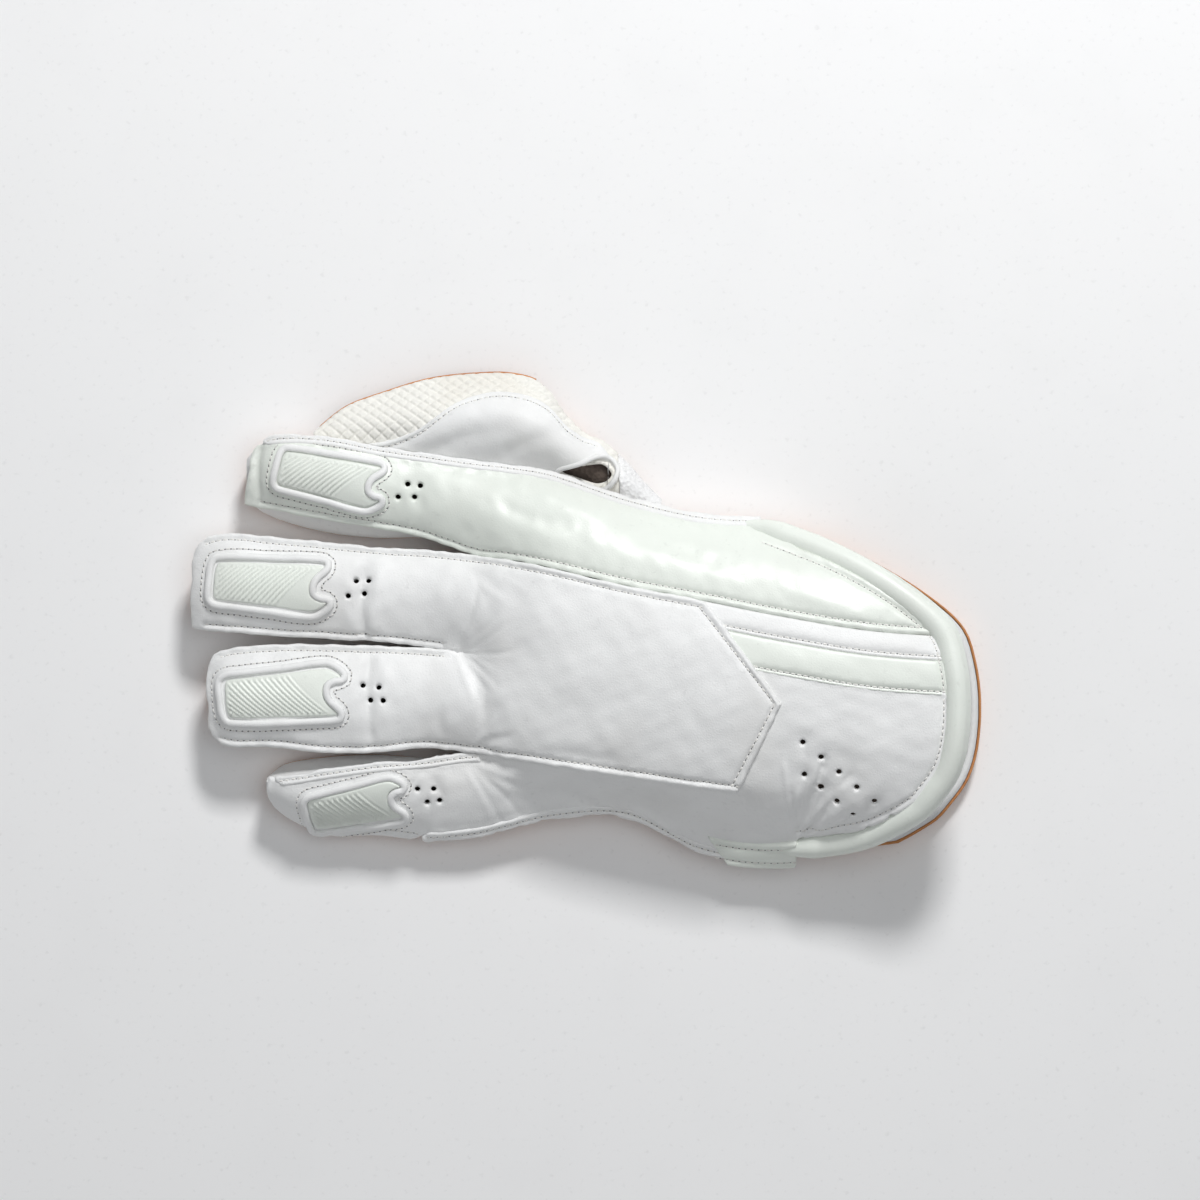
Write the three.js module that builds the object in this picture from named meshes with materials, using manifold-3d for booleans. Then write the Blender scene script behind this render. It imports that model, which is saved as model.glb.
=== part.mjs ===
// A wicketkeeping glove for the left hand, lying on its palm.
// The fingers point to -X, the cuff to +X, the thumb to +Y, and the palm facing rests on the ground at Z 0.
// While it is modelled, X is measured from the knuckles and Y from the middle of the hand. The last lines
// move the finished glove so that the origin is under the centre of its box.
import * as THREE from 'three';
import { mergeVertices } from 'three/addons/utils/BufferGeometryUtils.js';
import Module from 'manifold-3d';

const wasm = await Module();
wasm.setup();

// Driving sizes of the hand and the cuff, in millimetres
const HAND_LENGTH = 120; // knuckles to the ends of the side seams
const HAND_WIDTH = 150; // across the four finger roots
const HAND_HEIGHT = 58; // ground to the crest of the back
const CUFF_LENGTH = 75; // ends of the side seams to the end of the back of the cuff
const PALM_REACH = 7; // how far the palm side of the cuff runs past the back
const PALM_LEAN = 2; // how far the palm side of the cuff sits towards the little finger

// Driving sizes of the fingers and the thumb
const INDEX_LENGTH = 92;
const INDEX_WIDTH = 34;
const MIDDLE_LENGTH = 113;
const MIDDLE_WIDTH = 38;
const RING_LENGTH = 107;
const RING_WIDTH = 40;
const LITTLE_LENGTH = 84;
const LITTLE_WIDTH = 32;
const FINGER_HEIGHT = 30;
const THUMB_LENGTH = 88;
const THUMB_WIDTH = 34;
const THUMB_TURN = 137; // degrees from +X
const WEB_REACH = 37; // how far the web stands out from the side of the index finger

// Walls, layers and clearances
const BACK_WALL = 3; // padded back panels
const PALM_WALL = 3.4; // leather and padding under the hand
const FACING = 2; // rubber facing under the palm
const FACING_RISE = 8; // height to which the facing wraps up the sides
const PANEL_RISE = 1.6; // how far the central panel stands over its neighbours
const STRAP_RISE = 0.8; // how far the two cuff straps stand over their neighbours
const PATCH_WALL = 1.6; // smooth leather patch on the web
const GAP = 0.3; // clearance between two pieces
const SEAM_GAP = 0.2; // how far each panel stops short of the seam line
const FLANGE = 2; // how far the back panels overhang the side walls
const WEB_DROP = 7; // how far the web leaves the index finger below its seam
const WEB_TUCK = 3; // how far inside that seam the web starts
const WEB_RIM = 1; // how far the facing under the web shows past its edge

// Trim
const BINDING_RADIUS = 5.2; // padded roll round the end of the cuff
const LIP_WIDTH = 4.6; // stitched lip along a seam
const LIP_RISE = 0.5;
const TAB_LENGTH = 30; // flat end of the binding on the little finger's side
const TAB_WIDTH = 7.5;
const UPPER_STRAP_WIDTH = 9.7;
const LOWER_STRAP_WIDTH = 13.7;
const GUARD_LENGTH = 47; // ribbed shield on each finger
const GUARD_WIDTH = 20;
const GUARD_WALL = 1.8;
const FRAME_WIDTH = 2; // rolled edge of the window round each shield
const FRAME_HEIGHT = 2.8;
const RIB_WIDTH = 1.3;
const RIB_HEIGHT = 0.9;
const RIB_PITCH = 5;
const RIB_COUNT = 6;
const RIB_TURN = 52; // degrees from the line of the finger
const VENT_RADIUS = 1.1;
const CUFF_VENT_PITCH = 9.3; // between two vent holes of a row on the cuff
const CUFF_VENT_TURN = -40; // degrees of those rows from +X

// How finely the soft walls are faceted
const FINGER_STEP = 13; // along a finger
const HAND_STEP = 17; // along the hand and the cuff
const WEB_STEP = 10;
const RIM_STEPS = 22; // round the end of the cuff
const PATCH_STEPS = 18; // along the outer edge of the web's patch
const COLUMNS = 3; // across one finger's strip
const SIDE_STEPS = 6; // round one side wall, floor and side wall
const ROLL_STEP = 11; // along the roll round the cuff
const ROLL_SIDES = 8; // round that roll
const VENT_SIDES = 6; // round a vent hole

// Reaches of the solids that cut or trim others
const OVERRUN = 8; // how far a block stands past the face that trims it
const TALL = HAND_HEIGHT + FINGER_HEIGHT;
const FAR = 2 * (MIDDLE_LENGTH + HAND_LENGTH);

const table = (columns, rows) =>
  rows.map((row) => Object.fromEntries(columns.map((name, i) => [name, row[i]])));

// The back between the side seams, as five lines from the little finger's seam to the thumb's. along is 0
// at the knuckles, 1 at the ends of the side seams and 2 at the end of the cuff. Y is a share of HAND_WIDTH
// and Z of HAND_HEIGHT.
const HAND_LINES = table(
  ['along', 'outerY', 'outerZ', 'ringY', 'ringZ', 'crestY', 'crestZ', 'indexY', 'indexZ', 'innerY', 'innerZ'],
  [
    [0.0, -0.585, 0.24, -0.355, 0.46, -0.093, 0.46, 0.165, 0.46, 0.42, 0.43],
    [0.1, -0.566, 0.25, -0.368, 0.55, -0.103, 0.64, 0.155, 0.58, 0.411, 0.44],
    [0.25, -0.537, 0.27, -0.387, 0.66, -0.12, 0.79, 0.133, 0.73, 0.39, 0.45],
    [0.5, -0.533, 0.28, -0.416, 0.73, -0.155, 0.88, 0.085, 0.82, 0.323, 0.47],
    [0.75, -0.627, 0.29, -0.444, 0.77, -0.19, 0.93, 0.047, 0.87, 0.277, 0.48],
    [1.0, -0.65, 0.31, -0.467, 0.8, -0.222, 0.97, 0.007, 0.91, 0.267, 0.46],
    [1.5, -0.62, 0.38, -0.48, 0.85, -0.223, 1.0, -0.033, 0.94, 0.255, 0.48],
    [2.15, -0.58, 0.46, -0.46, 0.87, -0.217, 1.0, -0.053, 0.94, 0.245, 0.52],
  ],
);

// How far each strip of the back bulges over the straight line between its two edges, in shares of
// HAND_HEIGHT.
const HAND_CROWNS = table(
  ['along', 'little', 'ring', 'middle', 'index'],
  [
    [0.0, 0.09, 0.13, 0.13, 0.13],
    [0.1, 0.04, 0.07, 0.07, 0.11],
    [0.25, -0.04, 0.03, 0.03, 0.1],
    [0.5, -0.12, 0.03, 0.03, 0.1],
    [0.75, -0.12, 0.03, 0.03, 0.11],
    [1.0, 0.0, 0.03, 0.03, 0.12],
    [1.5, 0.07, 0.04, 0.03, 0.12],
    [2.15, 0.07, 0.04, 0.03, 0.11],
  ],
);

// The palm side: how far its floor is lifted off the ground and how high its rim stands where no back
// covers it.
const PALM_FORM = table(
  ['along', 'lift', 'rim'],
  [
    [0.0, 0.05, 0.4],
    [0.3, 0.03, 0.4],
    [0.55, 0.0, 0.4],
    [1.0, 0.0, 0.36],
    [1.12, 0.0, 0.26],
    [1.4, 0.0, 0.15],
    [2.2, 0.0, 0.12],
  ],
);

// Each finger from the root to the tip. along and drift (its shift to the thumb's side) are shares of its
// length, width of its width, and the others of FINGER_HEIGHT. Bulges are where the side wall swells past
// the back.
const FINGER_COLUMNS = ['along', 'drift', 'width', 'lowZ', 'highZ', 'crown', 'lift', 'lowBulge', 'highBulge'];
const FINGERS = {
  index: {
    length: INDEX_LENGTH, width: INDEX_WIDTH, lowLine: 'index', highLine: 'inner', rise: 0,
    rows: table(FINGER_COLUMNS, [
      [0.22, 0.053, 1.01, 0.76, 0.84, 0.2, 0.14, 0.1, 0.02],
      [0.43, 0.09, 0.98, 0.74, 0.84, 0.2, 0.12, 0.24, 0.02],
      [0.65, 0.129, 1.0, 0.74, 0.84, 0.2, 0.04, 0.28, 0.02],
      [0.87, 0.152, 0.9, 0.7, 0.8, 0.17, 0.0, 0.22, 0.02],
      [1.0, 0.14, 0.7, 0.58, 0.66, 0.08, 0.16, 0.08, 0.02],
    ]),
  },
  middle: {
    length: MIDDLE_LENGTH, width: MIDDLE_WIDTH, lowLine: 'crest', highLine: 'index', rise: PANEL_RISE,
    rows: table(FINGER_COLUMNS, [
      [0.18, 0.023, 1.0, 0.76, 0.78, 0.2, 0.14, 0, 0],
      [0.35, 0.037, 0.98, 0.76, 0.78, 0.19, 0.14, 0, 0],
      [0.53, 0.051, 1.0, 0.76, 0.78, 0.19, 0.1, 0, 0],
      [0.71, 0.065, 1.02, 0.75, 0.77, 0.19, 0.03, 0, 0],
      [0.89, 0.078, 1.02, 0.73, 0.75, 0.17, 0.0, 0, 0],
      [0.97, 0.068, 0.92, 0.68, 0.7, 0.12, 0.06, 0, 0],
      [1.0, 0.045, 0.74, 0.6, 0.62, 0.08, 0.14, 0, 0],
    ]),
  },
  ring: {
    length: RING_LENGTH, width: RING_WIDTH, lowLine: 'ring', highLine: 'crest', rise: PANEL_RISE,
    rows: table(FINGER_COLUMNS, [
      [0.19, 0.017, 0.98, 0.77, 0.77, 0.2, 0.14, 0, 0],
      [0.37, 0.013, 1.05, 0.76, 0.76, 0.19, 0.14, 0, 0],
      [0.56, 0.015, 1.07, 0.76, 0.76, 0.19, 0.1, 0, 0],
      [0.75, 0.026, 1.01, 0.75, 0.75, 0.19, 0.03, 0, 0],
      [0.93, 0.019, 0.95, 0.7, 0.72, 0.16, 0.0, 0, 0],
      [1.0, 0.028, 0.72, 0.6, 0.62, 0.08, 0.14, 0, 0],
    ]),
  },
  little: {
    length: LITTLE_LENGTH, width: LITTLE_WIDTH, lowLine: 'outer', highLine: 'ring', rise: 0,
    rows: table(FINGER_COLUMNS, [
      [0.24, -0.025, 1.06, 0.4, 0.9, 0.2, 0.1, 0.02, 0.1],
      [0.476, -0.023, 0.95, 0.36, 0.92, 0.2, 0.06, 0.02, 0.2],
      [0.714, -0.039, 0.86, 0.34, 0.9, 0.19, 0.02, 0.02, 0.26],
      [0.905, -0.012, 0.56, 0.44, 0.84, 0.14, 0.0, 0.02, 0.24],
      [1.0, 0.03, 0.34, 0.58, 0.74, 0.06, 0.12, 0.02, 0.1],
    ]),
  },
};

// The thumb, in its own line from the root to the tip: width in shares of THUMB_WIDTH, the others of
// FINGER_HEIGHT.
const THUMB_ROWS = table(
  ['along', 'width', 'seamZ', 'lift'],
  [
    [0.0, 1.0, 0.8, 0.0],
    [0.3, 1.0, 0.8, 0.0],
    [0.6, 1.0, 0.8, 0.02],
    [0.8, 0.94, 0.8, 0.02],
    [0.92, 0.76, 0.76, 0.06],
    [1.0, 0.44, 0.7, 0.16],
  ],
);

// The web from its end on the index finger to its root: reach in shares of WEB_REACH, the others of
// FINGER_HEIGHT.
const WEB_ROWS = table(
  ['along', 'reach', 'edgeZ', 'crown'],
  [
    [0.0, 0.02, 0.6, 0.02],
    [0.091, 0.38, 0.5, 0.1],
    [0.194, 0.63, 0.44, 0.2],
    [0.309, 0.84, 0.42, 0.3],
    [0.437, 0.97, 0.43, 0.4],
    [0.54, 1.0, 0.44, 0.45],
    [0.604, 0.92, 0.45, 0.42],
    [0.655, 0.69, 0.46, 0.36],
    [0.704, 0.56, 0.46, 0.3],
    [0.747, 0.55, 0.46, 0.26],
    [0.79, 0.46, 0.48, 0.22],
    [0.829, 0.34, 0.52, 0.16],
    [0.865, 0.2, 0.58, 0.1],
    [0.91, 0.06, 0.66, 0.04],
  ],
);

// The outline of the back of the cuff from the thumb's side round to the little finger's. along is a share
// of CUFF_LENGTH from the ends of the side seams, across of HAND_WIDTH.
const CUFF_OUTLINE = table(
  ['along', 'across'],
  [
    [-0.03, 0.267], [0.25, 0.214], [0.505, 0.15], [0.755, 0.065], [0.92, -0.018], [0.98, -0.117],
    [1.0, -0.22], [0.985, -0.333], [0.94, -0.415], [0.865, -0.475], [0.77, -0.53], [0.47, -0.613], [0.13, -0.643],
  ],
);

// Where each ribbed shield sits on its finger: along in shares of the finger's length from the root, across
// of its width from its middle line, turn in degrees. flip mirrors its notch.
const GUARDS = table(
  ['finger', 'along', 'across', 'turn', 'size', 'flip'],
  [
    ['index', 0.624, 0.0, -9, 0.91, 1],
    ['middle', 0.717, 0.0, -1.5, 1.0, 1],
    ['ring', 0.71, 0.02, 1, 1.02, -1],
    ['little', 0.565, -0.05, 8, 0.84, -1],
  ],
);

// The four vent holes at the root end of each shield, from the middle of the group, and where that middle
// is.
const FINGER_VENTS = [[-1.3, 3], [3.7, 3.2], [-4.3, -3], [2.1, -2]];
const HAND_END = 2.1; // how far the walls of the hand run on before they are cut, along as in HAND_LINES
const CROTCH = -8; // where the slot between the middle and ring fingers ends, on X
const VENT_GROUP = 0.74; // of GUARD_LENGTH, from the middle of the shield towards the root
const RIB_SHIFT = 0.1; // of GUARD_LENGTH, how far the ribs sit towards the tip
const GUARD_REACH = 0.6; // of GUARD_LENGTH, how much of the finger's back the shield is cut from
const CUFF_VENT_ROWS = table(['x', 'y', 'count'], [[1.12, -0.321, 6], [1.13, -0.405, 5]]);

// The teardrop hole at the crotch of the thumb: s in shares along the hand, up in millimetres from the
// index finger's seam.
const TEARDROP = table(
  ['s', 'up'],
  [[0.285, 1], [0.36, 6.2], [0.425, 10.6], [0.45, 10], [0.462, 7.6], [0.44, 3.4], [0.4, 1], [0.34, 0.6]],
);

// The outer edge of the smooth leather patch on the web: s along the hand, share of the web's reach. Then
// its foot.
const PATCH_EDGE = table(
  ['s', 'share'],
  [
    [-0.36, 0.02], [-0.2, 0.3], [-0.07, 0.62], [0.035, 0.74], [0.135, 0.76], [0.28, 0.74], [0.33, 0.78],
    [0.4, 0.86], [0.44, 0.7],
  ],
);
const PATCH_FOOT = [0.44, 0.3, 0.15, 0, -0.18, -0.36];

// Places as shares of HAND_LENGTH, or of the length that a comment names
const POINT = { top: 0.76, tip: 1.01, bottom: 0.867 }; // corners of the central panel's point
const STRAP_STATIONS = [0.6, 0.8, 1, 1.25, 1.5, 1.75, 2.1];
const WING_FROM = 0.7; // where the outer panel widens over the back of the hand
const COVER = { end: 0.97, fade: 0.07 }; // where the palm's side walls stop reaching up to the back
const THUMB_PLACE = { along: 0.56, across: 0.183 }; // root of the thumb, across of HAND_WIDTH
const WEB_PLACE = { tip: 0.717, root: 0.75, from: 0.03, to: 0.88 }; // tip of INDEX_LENGTH, from, to of the web
const GUSSET_FROM = 0.455;
const WEB_FACING_TO = 0.2;

// Side walls: how square their sections are, and how early they reach the floor. Then the tops of the
// openings between the hand and the stalls, as shares of HAND_HEIGHT.
const SECTION_POWER = 0.55;
const FLOOR_SPREAD = 1.09;
const DOORWAY = { finger: 0.36, thumb: 0.33 };

const { lerp, clamp, degToRad } = THREE.MathUtils;

// A smooth curve through [x, value] points, straight beyond its ends.
function curve(points) {
  const n = points.length;
  const slope = (i, j) => (points[j][1] - points[i][1]) / (points[j][0] - points[i][0]);
  const tangents = points.map((_, i) => slope(Math.max(i - 1, 0), Math.min(i + 1, n - 1)));
  return (x) => {
    if (x <= points[0][0]) return points[0][1] + (x - points[0][0]) * tangents[0];
    if (x >= points[n - 1][0]) return points[n - 1][1] + (x - points[n - 1][0]) * tangents[n - 1];
    const i = points.findIndex((point) => point[0] > x) - 1;
    const [x0, v0] = points[i];
    const [x1, v1] = points[i + 1];
    const span = x1 - x0;
    const t = (x - x0) / span;
    const held = t * t * (3 - 2 * t);
    return v0 + (v1 - v0) * held + span * t * (1 - t) * (tangents[i] * (1 - t) - tangents[i + 1] * t);
  };
}

// A closed mesh from points and triangles, turned to face outwards.
function closedSolid(points, triangles) {
  const volume = triangles.reduce(
    (sum, [a, b, c]) => sum + points[a].dot(new THREE.Vector3().crossVectors(points[b], points[c])), 0,
  );
  const faces = volume < 0 ? triangles.map(([a, b, c]) => [a, c, b]) : triangles;
  const geometry = new THREE.BufferGeometry().setFromPoints(points).setIndex(faces.flat());
  return toSolid(geometry);
}

function toSolid(geometry) {
  const plain = geometry.index ? geometry.toNonIndexed() : geometry.clone();
  plain.deleteAttribute('normal');
  plain.deleteAttribute('uv');
  const merged = mergeVertices(plain, 1e-4);
  return new wasm.Manifold(new wasm.Mesh({
    numProp: 3,
    vertProperties: new Float32Array(merged.attributes.position.array),
    triVerts: new Uint32Array(merged.index.array),
  }));
}

function toGeometry(solid) {
  const mesh = solid.getMesh();
  const geometry = new THREE.BufferGeometry();
  geometry.setAttribute('position', new THREE.BufferAttribute(new Float32Array(mesh.vertProperties), 3));
  geometry.setIndex(new THREE.BufferAttribute(new Uint32Array(mesh.triVerts), 1));
  return geometry;
}

// The main body of a cut, without the small offcuts beside it.
function largest(solid) {
  return solid.decompose().sort((a, b) => b.volume() - a.volume())[0];
}

const union = (solids) => solids.reduce((whole, solid) => whole.add(solid));

// A solid through closed sections with equally many points, each end closed between its two halves. The
// facets of the two halves mirror each other, so that the top of one wall fits the underside of the next.
function loft(sections) {
  const count = sections[0].length;
  const points = sections.flat();
  const triangles = [];
  for (let i = 0; i + 1 < sections.length; i++) {
    for (let j = 0; j < count; j++) {
      const a = i * count + j;
      const b = i * count + ((j + 1) % count);
      if (j < count / 2) triangles.push([a, b, b + count], [a, b + count, a + count]);
      else triangles.push([a, b, a + count], [b, b + count, a + count]);
    }
  }
  const last = (sections.length - 1) * count;
  for (let a = 0, b = count - 1; a + 1 < b; a++, b--) {
    const cap = [[a, b, a + 1]];
    if (a + 1 < b - 1) cap.push([a + 1, b, b - 1]);
    for (const [i, j, k] of cap) triangles.push([i, j, k], [last + i, last + k, last + j]);
  }
  return closedSolid(points, triangles);
}

// An upright prism over a plan outline, an array of [x, y].
function prism(outline, low = -TALL, high = TALL) {
  const shape = new THREE.Shape(outline.map(([x, y]) => new THREE.Vector2(x, y)));
  const geometry = new THREE.ExtrudeGeometry(shape, { depth: high - low, bevelEnabled: false });
  return toSolid(geometry.translate(0, 0, low));
}

// A plan outline moved outwards by a distance, or inwards by a negative one.
function grown(outline, distance) {
  const turn = Math.sign(THREE.ShapeUtils.area(outline.map(([x, y]) => new THREE.Vector2(x, y))));
  return outline.map(([x, y], i) => {
    const before = outline[(i + outline.length - 1) % outline.length];
    const after = outline[(i + 1) % outline.length];
    const into = new THREE.Vector2(x - before[0], y - before[1]).normalize();
    const out = new THREE.Vector2(after[0] - x, after[1] - y).normalize();
    const normal = new THREE.Vector2(into.y + out.y, -into.x - out.x).normalize();
    const corner = Math.max(normal.x * into.y - normal.y * into.x, 0.5);
    return [x + (turn * distance * normal.x) / corner, y + (turn * distance * normal.y) / corner];
  });
}

// An open line moved to its left by a distance, each end square to its own run.
function sideways(line, distance) {
  return line.map(([x, y], i) => {
    const before = line[Math.max(i - 1, 0)];
    const after = line[Math.min(i + 1, line.length - 1)];
    const run = new THREE.Vector2(after[0] - before[0], after[1] - before[1]).normalize();
    return [x - run.y * distance, y + run.x * distance];
  });
}

// Where a share along the hand or the cuff lies on X.
const handX = (along) => (along <= 1 ? along * HAND_LENGTH : HAND_LENGTH + (along - 1) * CUFF_LENGTH);

const handLine = (line) =>
  HAND_LINES.map((row) => ({
    x: handX(row.along),
    y: row[`${line}Y`] * HAND_WIDTH,
    z: row[`${line}Z`] * HAND_HEIGHT,
  }));

const edgeCurve = (points) => ({
  y: curve(points.map(({ x, y }) => [x, y])),
  z: curve(points.map(({ x, z }) => [x, z])),
});

// A height that never falls below the ground.
const raised = (points) => {
  const line = curve(points);
  return (x) => Math.max(0, line(x));
};

const evenly = (from, to, step) => {
  const count = Math.max(1, Math.round((to - from) / step));
  return Array.from({ length: count + 1 }, (_, i) => lerp(from, to, i / count));
};

const handEnd = handX(HAND_END);
const handStations = evenly(CROTCH, handEnd, HAND_STEP);

// A strip of the back: one finger's back, and the hand behind it, between two edges.
function strip(name, finger) {
  const lowHand = handLine(finger.lowLine);
  const highHand = handLine(finger.highLine);
  const rootY = (lowHand[0].y + highHand[0].y) / 2;
  const tipFirst = [...finger.rows].reverse();
  const side = (sign, key) =>
    tipFirst.map((row) => ({
      x: -row.along * finger.length,
      y: rootY + row.drift * finger.length + (sign * row.width * finger.width) / 2,
      z: row[key] * FINGER_HEIGHT,
    }));
  const share = (key) => raised([
    ...tipFirst.map((row) => [-row.along * finger.length, row[key] * FINGER_HEIGHT]),
    [0, key === 'lift' ? PALM_FORM[0].lift * HAND_HEIGHT : 0],
  ]);
  return {
    name,
    tip: -finger.length,
    stations: [...evenly(-finger.length, CROTCH, FINGER_STEP), ...handStations.slice(1)],
    low: edgeCurve([...side(-1, 'lowZ'), ...lowHand]),
    high: edgeCurve([...side(1, 'highZ'), ...highHand]),
    crown: curve([
      ...tipFirst.map((row) => [-row.along * finger.length, row.crown * FINGER_HEIGHT]),
      ...HAND_CROWNS.map((row) => [handX(row.along), row[name] * HAND_HEIGHT]),
    ]),
    lift: share('lift'),
    lowBulge: share('lowBulge'),
    highBulge: share('highBulge'),
    crownPower: 1,
  };
}

const strips = Object.fromEntries(
  Object.entries(FINGERS).map(([name, finger]) => [name, strip(name, finger)]),
);

// A point of a strip's outer face at x and at a share t across it.
function stripPoint(band, x, t) {
  const y = lerp(band.low.y(x), band.high.y(x), t);
  const arch = Math.max(Math.sin(Math.PI * t), 0) ** band.crownPower;
  return new THREE.Vector3(x, y, lerp(band.low.z(x), band.high.z(x), t) + band.crown(x) * arch);
}

// One row of such points across neighbouring strips, stopped short of the outer edges by inset, or run on
// flat.
function acrossStrips(bands, x, inset) {
  const row = bands.flatMap((band, k) =>
    Array.from({ length: COLUMNS + (k === bands.length - 1) }, (_, j) => stripPoint(band, x, j / COLUMNS)));
  const first = row[0].clone();
  const last = row[row.length - 1].clone();
  first.y += inset;
  last.y -= inset;
  return inset < 0 ? [first, ...row, last] : [first, ...row.slice(1, -1), last];
}

// A wall that follows one or more neighbouring strips, from a depth under their face to a height over it.
// It covers at least the stretch between from and to. Walls of the same strips have the same facets.
function wall(bands, from, to, below, above, inset = SEAM_GAP) {
  const { stations } = bands[0];
  const start = Math.max(0, stations.findLastIndex((x) => x <= from + GAP));
  const reached = stations.findIndex((x) => x >= to - GAP);
  const end = reached < 0 ? stations.length - 1 : reached;
  const rows = stations.slice(start, end + 1).map((x) => acrossStrips(bands, x, inset));
  const shifted = (row, height) => row.map((point) => point.clone().setZ(point.z + height));
  return loft(rows.map((row) => [...shifted(row, above), ...shifted(row, below).reverse()]));
}

// Everything over the underside of some strips, to trim what they cover.
const headroom = (bands, from, to) => wall(bands, from, to, -BACK_WALL - GAP, TALL, -2 * FLANGE);

// One section of the side walls and floor under a finger or the hand, as points [y, z].
// grow moves it outwards, and top is how far it stands over the seam.
function troughSection(form, x, grow, top) {
  const low = form.low.y(x) + FLANGE - grow;
  const high = form.high.y(x) - FLANGE + grow;
  const lowZ = form.low.z(x);
  const highZ = form.high.z(x);
  const floor = FACING + GAP + form.lift(x) - grow;
  const points = [[low, lowZ + top]];
  for (let k = 0; k <= SIDE_STEPS; k++) {
    const angle = (Math.PI * k) / SIDE_STEPS;
    const across = Math.sign(Math.cos(angle)) * Math.abs(Math.cos(angle)) ** SECTION_POWER;
    const depth = Math.min(1, FLOOR_SPREAD * Math.abs(Math.sin(angle)) ** SECTION_POWER);
    const swell = Math.abs(Math.sin(2 * angle)) * (across > 0 ? -form.lowBulge(x) : form.highBulge(x));
    const t = (1 - across) / 2;
    points.push([lerp(low, high, t) + swell, lerp(lerp(lowZ, highZ, t), floor, depth)]);
  }
  points.push([high, highZ + top]);
  return points;
}

// The closed block of such sections between two places on X. beyond moves its tip end on, away from the
// root.
function trough(form, from, to, grow, top, beyond = 0) {
  const between = form.stations.filter((x) => x > from + FLANGE && x < to - FLANGE);
  return loft([from, ...between, to].map((x) => {
    const rise = typeof top === 'function' ? top(x) : top;
    const place = x === form.tip ? x + Math.sign(x) * beyond : x;
    return troughSection(form, x, grow, rise).map(([y, z]) => new THREE.Vector3(place, y, z));
  }));
}

const below = (height) => prism([[-FAR, -FAR], [FAR, -FAR], [FAR, FAR], [-FAR, FAR]], -TALL, height);

// The pieces, in the order in which they are cut from one another
const COLOURS = {
  leather: new THREE.MeshStandardMaterial({ color: 0xf2f2f0, roughness: 0.5, metalness: 0 }),
  gloss: new THREE.MeshStandardMaterial({ color: 0xeff2ea, roughness: 0.28, metalness: 0 }),
  textured: new THREE.MeshStandardMaterial({ color: 0xf2efe4, roughness: 0.65, metalness: 0 }),
  mesh: new THREE.MeshStandardMaterial({ color: 0xe6e6ea, roughness: 0.8, metalness: 0 }),
  facing: new THREE.MeshStandardMaterial({ color: 0xc97b45, roughness: 0.7, metalness: 0 }),
};
const glove = new THREE.Group();

function add(name, solid, material) {
  const mesh = new THREE.Mesh(toGeometry(largest(solid)), material);
  mesh.name = name;
  glove.add(mesh);
}

// The end of the cuff, of its back or its palm side, as a plan line from the thumb's side to the other.
function cuffOutline(length, lean) {
  const points = CUFF_OUTLINE.map(({ along, across }) =>
    new THREE.Vector2(HAND_LENGTH + along * length, across * HAND_WIDTH - lean));
  return new THREE.SplineCurve(points).getPoints(RIM_STEPS).map(({ x, y }) => [x, y]);
}

const backRim = cuffOutline(CUFF_LENGTH, 0);
const palmRim = cuffOutline(CUFF_LENGTH + PALM_REACH, PALM_LEAN);

// Everything on the hand's side of a rim that is moved inwards, closed by runs square to the rim's two ends
function cuffPlan(rim, inset) {
  const inner = sideways(rim, -inset);
  const squareRun = (end, next) => {
    const along = new THREE.Vector2(end[0] - next[0], end[1] - next[1]).normalize();
    const start = [end[0] + along.x * GAP, end[1] + along.y * GAP];
    const outward = Math.sign(end[1]);
    const reach = [Math.abs(along.y) * HAND_WIDTH, outward * Math.abs(along.x) * HAND_WIDTH];
    return [start, [start[0] + reach[0], start[1] + reach[1]]];
  };
  const first = squareRun(inner[0], inner[1]);
  const last = squareRun(inner[inner.length - 1], inner[inner.length - 2]);
  return [[-FAR, HAND_WIDTH], ...first.reverse(), ...inner, ...last, [-FAR, -HAND_WIDTH]];
}

const panelPlan = prism(cuffPlan(backRim, 2 * BINDING_RADIUS + GAP));

// The central panel: the backs of the middle and ring fingers and the back of the hand, pointed at the cuff
function centralPlan(distance) {
  const top = handX(POINT.top);
  const tip = handX(POINT.tip);
  const bottom = handX(POINT.bottom);
  const ringEdge = [bottom, ...handStations.filter((x) => x < bottom - FLANGE).reverse()];
  const corners = [
    [-FAR, FAR / 4], [top, FAR / 4], [top, strips.middle.high.y(top)], [tip, strips.middle.low.y(tip)],
    ...ringEdge.map((x) => [x, strips.ring.low.y(x)]), [-FAR, strips.ring.low.y(CROTCH)],
  ];
  return prism(grown(corners, distance));
}
const fingerLid = (band, rise) => wall([band], band.tip, CROTCH, -BACK_WALL, rise);

function vents(places) {
  return union(places.map(([x, y]) => {
    const cutter = new THREE.CylinderGeometry(VENT_RADIUS, VENT_RADIUS, 2 * TALL, VENT_SIDES);
    return toSolid(cutter.rotateX(Math.PI / 2).translate(x, y, 0));
  }));
}

// The plan place of a shield on its finger: a function from its own [u, v] to plan [x, y]
function guardPlace({ finger, along, across, turn }) {
  const band = strips[finger];
  const x = -along * FINGERS[finger].length;
  const y = (band.low.y(x) + band.high.y(x)) / 2 + across * FINGERS[finger].width;
  const angle = degToRad(turn);
  return ([u, v]) => [
    x + u * Math.cos(angle) - v * Math.sin(angle),
    y + u * Math.sin(angle) + v * Math.cos(angle),
  ];
}

const fingerVents = Object.fromEntries(GUARDS.map((guard) => {
  const place = guardPlace(guard);
  const middle = VENT_GROUP * GUARD_LENGTH * guard.size;
  return [guard.finger, vents(FINGER_VENTS.map(([u, v]) => place([middle + u, v * guard.flip])))];
}));

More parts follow.
